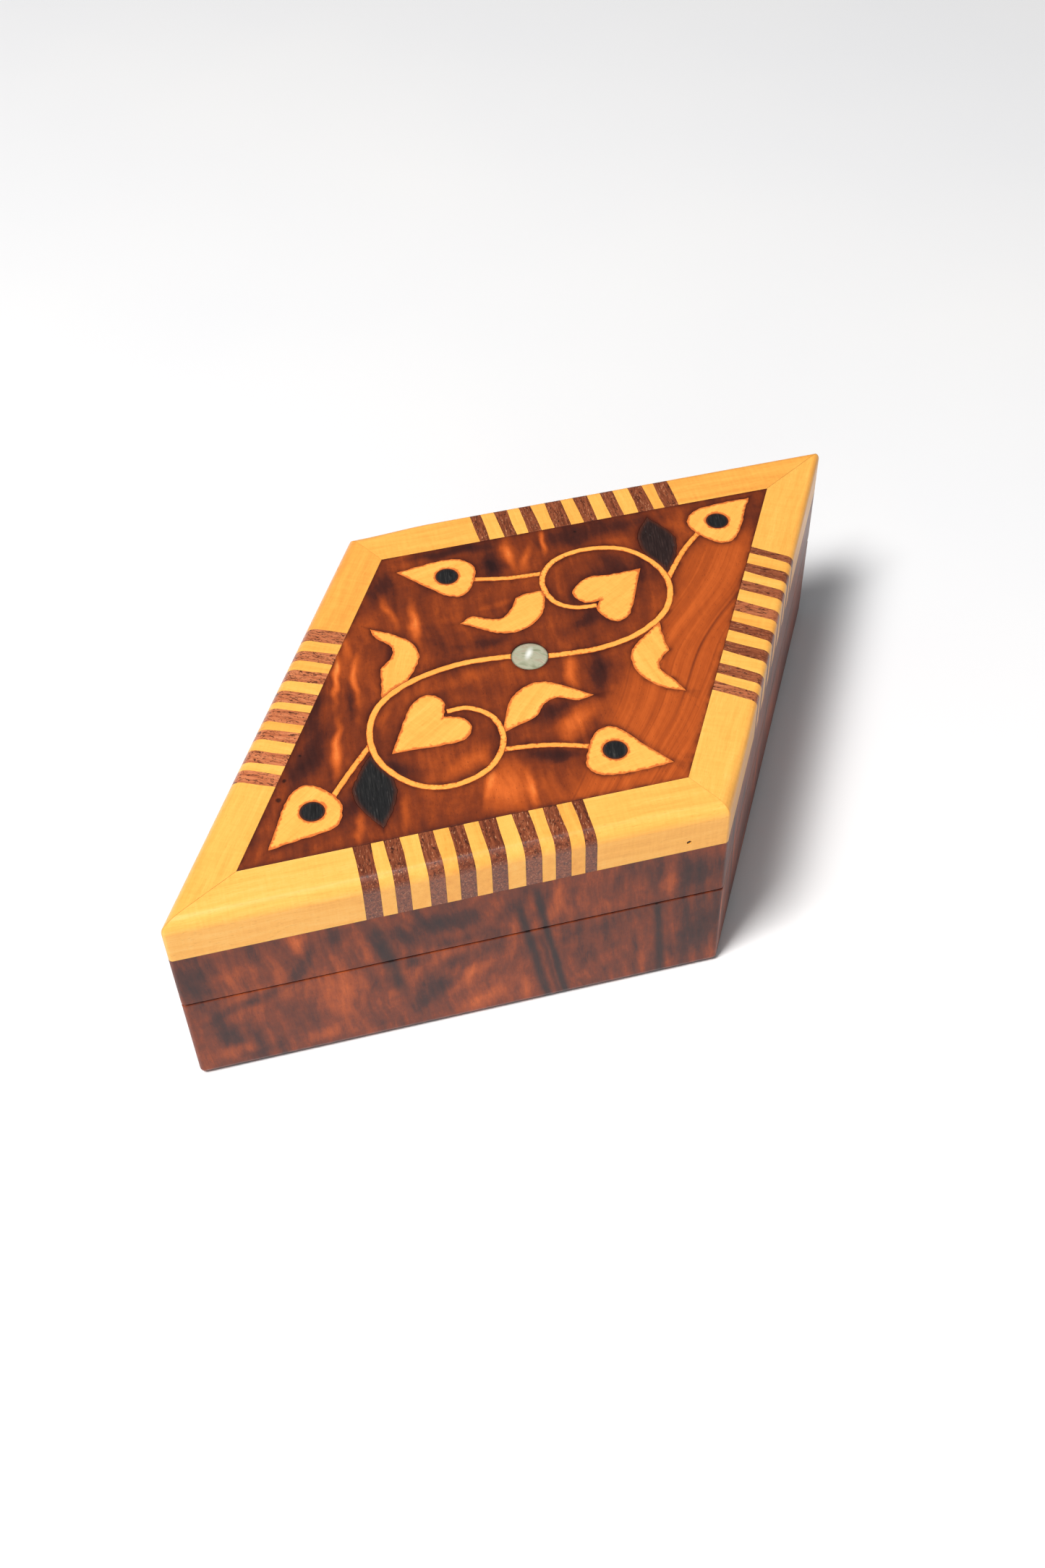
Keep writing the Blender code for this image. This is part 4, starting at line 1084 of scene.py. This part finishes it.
def covered(boundary, rings, spacing):
    """Points and triangles over the inside of a boundary, with rows of points along it."""
    start, end = boundary[:, 0], boundary[:, 1]
    run = end - start
    length = np.linalg.norm(run, axis=1)
    normal = np.stack([-run[:, 1], run[:, 0]], 1) / np.maximum(length, 1e-9)[:, None]
    extra = []
    for ring in rings:
        pieces = []
        for a, d, n, size in zip(start, run, normal, length):
            steps = max(1, int(size / max(0.5, 1.6 * ring)))
            shares = (np.arange(steps) + 0.5) / steps
            pieces.append(a + shares[:, None] * d + n * ring)
        row = np.concatenate(pieces)
        distance, inside = near(row, boundary)
        extra.append(row[inside & (distance > 0.8 * ring)])
    low, high = boundary.reshape(-1, 2).min(0), boundary.reshape(-1, 2).max(0)
    xs = np.arange(low[0] + spacing / 2.0, high[0], spacing)
    ys = np.arange(low[1] + spacing / 2.0, high[1], spacing * 0.87)
    grid = np.array([(x + (spacing / 2.0 if k % 2 else 0.0), y) for k, y in enumerate(ys) for x in xs])
    if len(grid):
        distance, inside = near(grid, boundary)
        extra.append(grid[inside & (distance > 1.5 * rings[-1])])
    index, vertices, edges = {}, [], []
    for segment in boundary:
        pair = []
        for point in segment:
            key = (round(point[0], 5), round(point[1], 5))
            if key not in index:
                index[key] = len(vertices)
                vertices.append(Vector(point))
            pair.append(index[key])
        if pair[0] != pair[1]:
            edges.append(tuple(pair))
    vertices += [Vector(p) for p in np.concatenate(extra)]
    points, _, triangles, _, _, _ = delaunay_2d_cdt(vertices, edges, [], 0, 1e-5)
    points = np.array([p[:] for p in points])
    centres = np.array([points[list(t)].mean(0) for t in triangles])
    _, inside = near(centres, boundary)
    return points, [tuple(t) for t, keep in zip(triangles, inside) if keep]


def layered_solid(name, levels, bottom):
    """A solid over one or more level areas that share boundaries, standing on `bottom`.

    Each level is (points, triangles, heights); a plan point that two levels share gets a wall between them.
    """
    vertices, faces, key_of = [], [], {}

    def vertex(point, z):
        key = (round(point[0], 4), round(point[1], 4), round(z, 4))
        if key not in key_of:
            key_of[key] = len(vertices)
            vertices.append((point[0], point[1], z))
        return key_of[key]

    walls = {}
    for points, triangles, heights in levels:
        for triangle in triangles:
            top = [vertex(points[i], heights[i]) for i in triangle]
            low = [vertex(points[i], bottom) for i in triangle]
            if len(set(top)) < 3:
                continue
            faces.append(tuple(top))
            faces.append(tuple(reversed(low)))
            for k in range(3):
                a, b = k, (k + 1) % 3
                key = (low[a], low[b])
                if (low[b], low[a]) in walls:
                    other = walls.pop((low[b], low[a]))
                    if other != (top[b], top[a]):
                        faces.append((top[b], top[a], other[1], other[0]))
                else:
                    walls[key] = (top[a], top[b])
    for (low_a, low_b), (top_a, top_b) in walls.items():
        faces.append((low_a, low_b, top_b, top_a))
    cleaned = []
    for face in faces:
        ring = [i for k, i in enumerate(face) if i != face[k - 1]]
        if len(set(ring)) > 2:
            cleaned.append(tuple(ring))
    return mesh_object(name, vertices, cleaned)


def eased(distance, width, drop):
    """How far the surface falls towards an edge `distance` away."""
    share = np.clip(1.0 - distance / width, 0.0, 1.0)
    return drop * share ** 2


# Rows of points along an inlay's edges, how wide and deep the edges are softened, and how far in the
# wood is stained
RINGS = (0.1, 0.3, 0.6, 0.9)
INLAY_SPACING = 1.2
INLAY_EDGE = (0.28, 0.05)
STAIN_REACH = 0.95
LINE_STAIN_REACH = 0.25
BUTTON_RIM = 0.45
# The same for the field's board
FIELD_RINGS = (0.1, 0.3, 0.9, 1.8)
FIELD_SPACING = 3.0
FIELD_EDGE = (0.25, 0.035)
HALO_REACH = 1.7
SMALLEST_PART = 0.4

INLAY_GRAIN = {
    "heart_lower": 38.0, "heart_upper": 30.0, "curl_lower": 50.0, "curl_right": 100.0, "curl_left": 70.0,
    "curl_upper": 20.0, "teardrop_lower_left": 40.0, "teardrop_lower_right": 10.0,
    "teardrop_upper_left": 12.0, "teardrop_upper_right": 45.0, "scroll_lower": 20.0, "scroll_upper": 20.0,
    "stem_lower_left": 50.0, "stem_lower_right": 0.0, "stem_upper_left": 0.0, "stem_upper_right": 50.0,
    "leaf_lower": 85.0, "leaf_upper": 80.0,
}


def plan_axes(direction):
    """Grain axes along and across `direction` degrees in plan, and up."""
    turn = math.radians(direction)
    return ((math.cos(turn), math.sin(turn), 0.0), (-math.sin(turn), math.cos(turn), 0.0), (0.0, 0.0, 1.0))


def inlay_piece(name, outline, minus, material, tone, index, hole):
    """One inlaid piece less its neighbours' pockets, soft along its edges; `hole` holds a dot's seat."""
    boundary = region(outline, minus + hole, None)
    points, triangles = covered(boundary, RINGS, INLAY_SPACING)
    levels = [(points, triangles, TOP - eased(near(points, boundary)[0], *INLAY_EDGE))]
    for seat in hole:
        points, triangles = covered(region(seat, [], None), (0.5,), 1.5)
        levels.append((points, triangles, np.full(len(points), TOP - DOT_DEPTH - 0.1)))
    piece = layered_solid(f"inlay_{name}", levels, TOP - INLAY_DEPTH)
    reach = LINE_STAIN_REACH if name.startswith(("scroll", "stem")) else STAIN_REACH

    def rim(points):
        return np.clip(1.0 - near(points[:, :2], boundary)[0] / reach, 0.0, 1.0)

    settle(piece, "lid", name, material, plan_axes(INLAY_GRAIN[name]), spread(index), tone, rim)


def button(node, centre, diameter, height, dome, depth, material, direction=0.0,
           shift=(0.0, 0.0, 0.0)):
    """A round inlay with a low dome and an eased edge."""
    radius = diameter / 2.0
    segments, rings = 64, 10
    profile = []
    for k in range(1, rings + 1):
        rise = math.sin(k / rings * math.pi / 2.0)
        profile.append((radius * rise if k < rings else radius - 0.04, height - dome * rise ** 2))
    profile += [(radius, height - dome - 0.06), (radius, height - depth)]
    vertices, faces = loft(round_rows(centre, profile, segments))
    faces.remove(tuple(range(segments)))
    faces += [(i, (i + 1) % segments, len(vertices)) for i in range(segments)]
    vertices.append((*centre, height))

    def rim(points):
        away = np.hypot(points[:, 0] - centre[0], points[:, 1] - centre[1])
        return np.clip((away - radius) / BUTTON_RIM + 1.0, 0.0, 1.0)

    settle(mesh_object(f"inlay_{node}", vertices, faces), "lid", node, material,
           plan_axes(direction), shift, 0.0, rim, 50.0)


def build_field(board_material, light, black, pearl_material):
    """The lid's board with its pockets, and all that is let into it."""
    pockets = pocket_outlines(INLAY_LINE)
    shapes = pocket_outlines(0.0)
    outer = rhombus(-0.05)
    ground = region(outer, list(pockets.values()), SMALLEST_PART)
    points, triangles = covered(ground, FIELD_RINGS, FIELD_SPACING)
    heights = TOP - eased(near(points, ground)[0], *FIELD_EDGE)
    whole = region(outer, [], None)
    outside = np.abs(near(ground.mean(1), whole)[0]) > 1e-3
    sunk = ground[outside][:, ::-1]  # the pockets' floors, inside the same edges turned round
    low_points, low_triangles = covered(sunk, (0.4,), 4.0)
    levels = [(points, triangles, heights),
              (low_points, low_triangles, np.full(len(low_points), TOP - POCKET_DEPTH))]
    board = layered_solid("field_board", levels, FRAME_BOTTOM)

    def halo(points):
        """Darker beside the inlay and the lipping, on the upper face only."""
        near_edge = np.clip(1.0 - near(points[:, :2], ground)[0] / HALO_REACH, 0.0, 1.0) ** 2
        return np.where(points[:, 2] > TOP - 0.5, near_edge, 0.0)

    settle(board, "lid", "lid_panel", board_material, rim=halo)
    scrolls, stems, drops = list(SCROLLS), list(STEMS), list(TEARDROPS)
    index = 100

    def add(name, neighbours, material, tone, hole=()):
        nonlocal index
        index += 1
        minus = [pockets[other] for other in neighbours]
        inlay_piece(name, shapes[name], minus, material, tone, index, list(hole))

    for name in scrolls:
        add(name, ["pearl"], light, -0.1)
    for name in list(HEARTS) + list(CURLED_LEAVES):
        add(name, scrolls, light, 0.0)
    for name in stems:
        add(name, scrolls + drops, light, -0.2)
    for name, brownness in zip(EBONY_LEAVES, (0.0, 0.5)):
        add(name, scrolls + stems, black, brownness)
    for name in drops:
        dot = name.replace("teardrop", "dot")
        hole = circle(DOTS[dot], DOT_DIAMETER + 2.0 * INLAY_LINE)
        add(name, [], light, 0.02, [hole])
        button(dot, DOTS[dot], DOT_DIAMETER, TOP - 0.01, 0.04, DOT_DEPTH, black, 80.0, spread(index))
    button("pearl", PEARL_CENTRE, PEARL_DIAMETER, TOP, 0.16, INLAY_DEPTH, pearl_material)


# ---------------------------------------------------------------- hardware

def build_hardware(metal):
    """Leaves and pins stay as they are, with broken edges; the screws get driver slots."""
    for label in HINGE_PLACES:
        for piece in ("base_leaf", "lid_leaf", "pin"):
            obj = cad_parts[f"hinge_{label}_{piece}"]
            obj.data.materials.clear()
            obj.data.materials.append(metal)
            edges = obj.modifiers.new("broken_edges", "BEVEL")
            edges.width = 0.07 * MM
            edges.segments = 2
            edges.limit_method = "ANGLE"
            edges.angle_limit = math.radians(40.0)
        for owner in ("base", "lid"):
            for mark, slot_turn in (("a", 35.0), ("b", 85.0)):
                build_screw(f"screw_{label}_{owner}_{mark}", owner, metal, slot_turn)


def build_screw(node, owner, metal, slot_turn):
    """A slotted countersunk wood screw, its thread drawn as rings."""
    low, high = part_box(node)
    centre = (low + high) / 2.0 / MM
    direction = 1.0 if owner == "lid" else -1.0
    head = (low.z if owner == "lid" else high.z) / MM
    profile = [(0.3, 0.0), (1.18, 0.0), (1.3, 0.05), (1.33, 0.14), (0.72, 0.72)]
    for k in range(THREAD_TURNS):
        start = THREAD_START + THREAD_PITCH * k
        profile += [(0.55, start), (0.7, start + 0.2), (0.7, start + 0.26), (0.55, start + 0.42)]
    profile += [(0.4, 4.9), (0.12, 5.4)]
    rows = round_rows(centre, [(radius, head + direction * depth) for radius, depth in profile], 28)
    screw = mesh_object(f"{node}_slotted", *loft(rows))
    vertices, faces = block((-2.0, -0.16, -0.4), (2.0, 0.16, 0.4))
    turn = Matrix.Rotation(math.radians(slot_turn), 3, "Z")
    cut(screw, [turn @ Vector(v) + Vector((centre.x, centre.y, head)) for v in vertices], faces)
    settle(screw, owner, node, metal)


# ---------------------------------------------------------------- stage

FLOOR_SIZE = 3.4
# Where the lid's lacquer mirrors the room towards the camera; the room is darker there
MIRRORED = (0.17, 0.62, 0.77)


def build_stage():
    """A pale floor, three soft lights and a dim even room."""
    bpy.ops.mesh.primitive_plane_add(size=FLOOR_SIZE)
    ground = bpy.context.object
    ground.name = "studio_floor"
    ground.data.materials.append(studio_floor())

    def softbox(name, place, aim, size, power, tint=(1.0, 1.0, 1.0)):
        data = bpy.data.lights.new(name, "AREA")
        data.shape = "RECTANGLE"
        data.size, data.size_y = size
        data.energy = power
        data.color = tint
        lamp = bpy.data.objects.new(name, data)
        bpy.context.scene.collection.objects.link(lamp)
        lamp.location = place
        lamp.rotation_euler = (Vector(aim) - Vector(place)).to_track_quat("-Z", "Y").to_euler()

    softbox("key", (-0.74, -0.45, 1.72), (0.0, 0.0, 0.02), (0.5, 0.6), 43.5, (1.0, 0.985, 0.96))
    softbox("overhead", (0.05, -0.06, 1.3), (0.0, 0.0, 0.0), (0.5, 0.12), 1.4)
    softbox("front", (-0.5, -1.1, 0.55), (0.0, 0.0, 0.03), (0.9, 0.5), 1.8)
    world = bpy.context.scene.world or bpy.data.worlds.new("studio")
    bpy.context.scene.world = world
    g = Graph(world, "Background")
    towards = g.vector("DOT_PRODUCT", g.node("TexCoord").outputs["Generated"], MIRRORED, "Value")
    soft = g.step(towards, 0.72, 0.97, 0.15, 0.05)
    strength = g.blend(g.node("LightPath").outputs["Is Camera Ray"], soft, 0.9)
    g.put(strength, g.shader.inputs["Strength"])
    g.put((0.96, 0.98, 1.0, 1.0), g.shader.inputs["Color"])
    settings = bpy.context.scene.view_settings
    settings.view_transform = "Standard"
    settings.look = "None"


CAMERA_PLACE = (-0.0627196, -0.2655086, 0.3308414)
CAMERA_ANGLES = (-12.9556, 49.3845, -1.7185)


def build_camera():
    """The photo's viewpoint: angles are round the box from its front, up, and the camera's roll."""
    data = bpy.data.cameras.new("camera")
    data.sensor_width = 36.0
    data.lens = 41.2
    data.clip_start = 0.01
    camera = bpy.data.objects.new("camera", data)
    bpy.context.scene.collection.objects.link(camera)
    turn, rise, roll = (math.radians(angle) for angle in CAMERA_ANGLES)
    back = Vector((math.sin(turn) * math.cos(rise), -math.cos(turn) * math.cos(rise), math.sin(rise)))
    right = Vector((0.0, 0.0, 1.0)).cross(back).normalized()
    up = back.cross(right)
    level_right = math.cos(roll) * right + math.sin(roll) * up
    level_up = -math.sin(roll) * right + math.cos(roll) * up
    axes = Matrix((level_right, level_up, back)).transposed().to_4x4()
    camera.matrix_world = Matrix.Translation(CAMERA_PLACE) @ axes
    bpy.context.scene.camera = camera


# ---------------------------------------------------------------- assembly

light_wood = lemonwood()
dark_strips = walnut()
black_wood = ebony()
front_board = thuya("thuya_front", FRONT_MARKS, FRONT_VEINS, 94.0, (-28.0, 47.0, 5.5, 36.0, 0.05),
                    lift=-0.035, gloss=THIN_LACQUER, knots=FRONT_KNOTS)
side_board = thuya("thuya_sides", SIDE_MARKS, SIDE_VEINS, 86.0, gloss=THIN_LACQUER)
inside_board = thuya("thuya_inside", (), (), 2.0, gloss=BARE)
field_board = thuya("thuya_field", FIELD_MARKS, (), 86.0, knots=FIELD_KNOTS, calm=FIELD_CALM, fibre=0.45)

build_walls(front_board, side_board)
build_floor_board(inside_board)
build_lipping(light_wood, dark_strips)
build_brad(steel())
build_field(field_board, light_wood, black_wood, nacre())
build_hardware(brass())
build_stage()
build_camera()

bpy.context.view_layer.update()
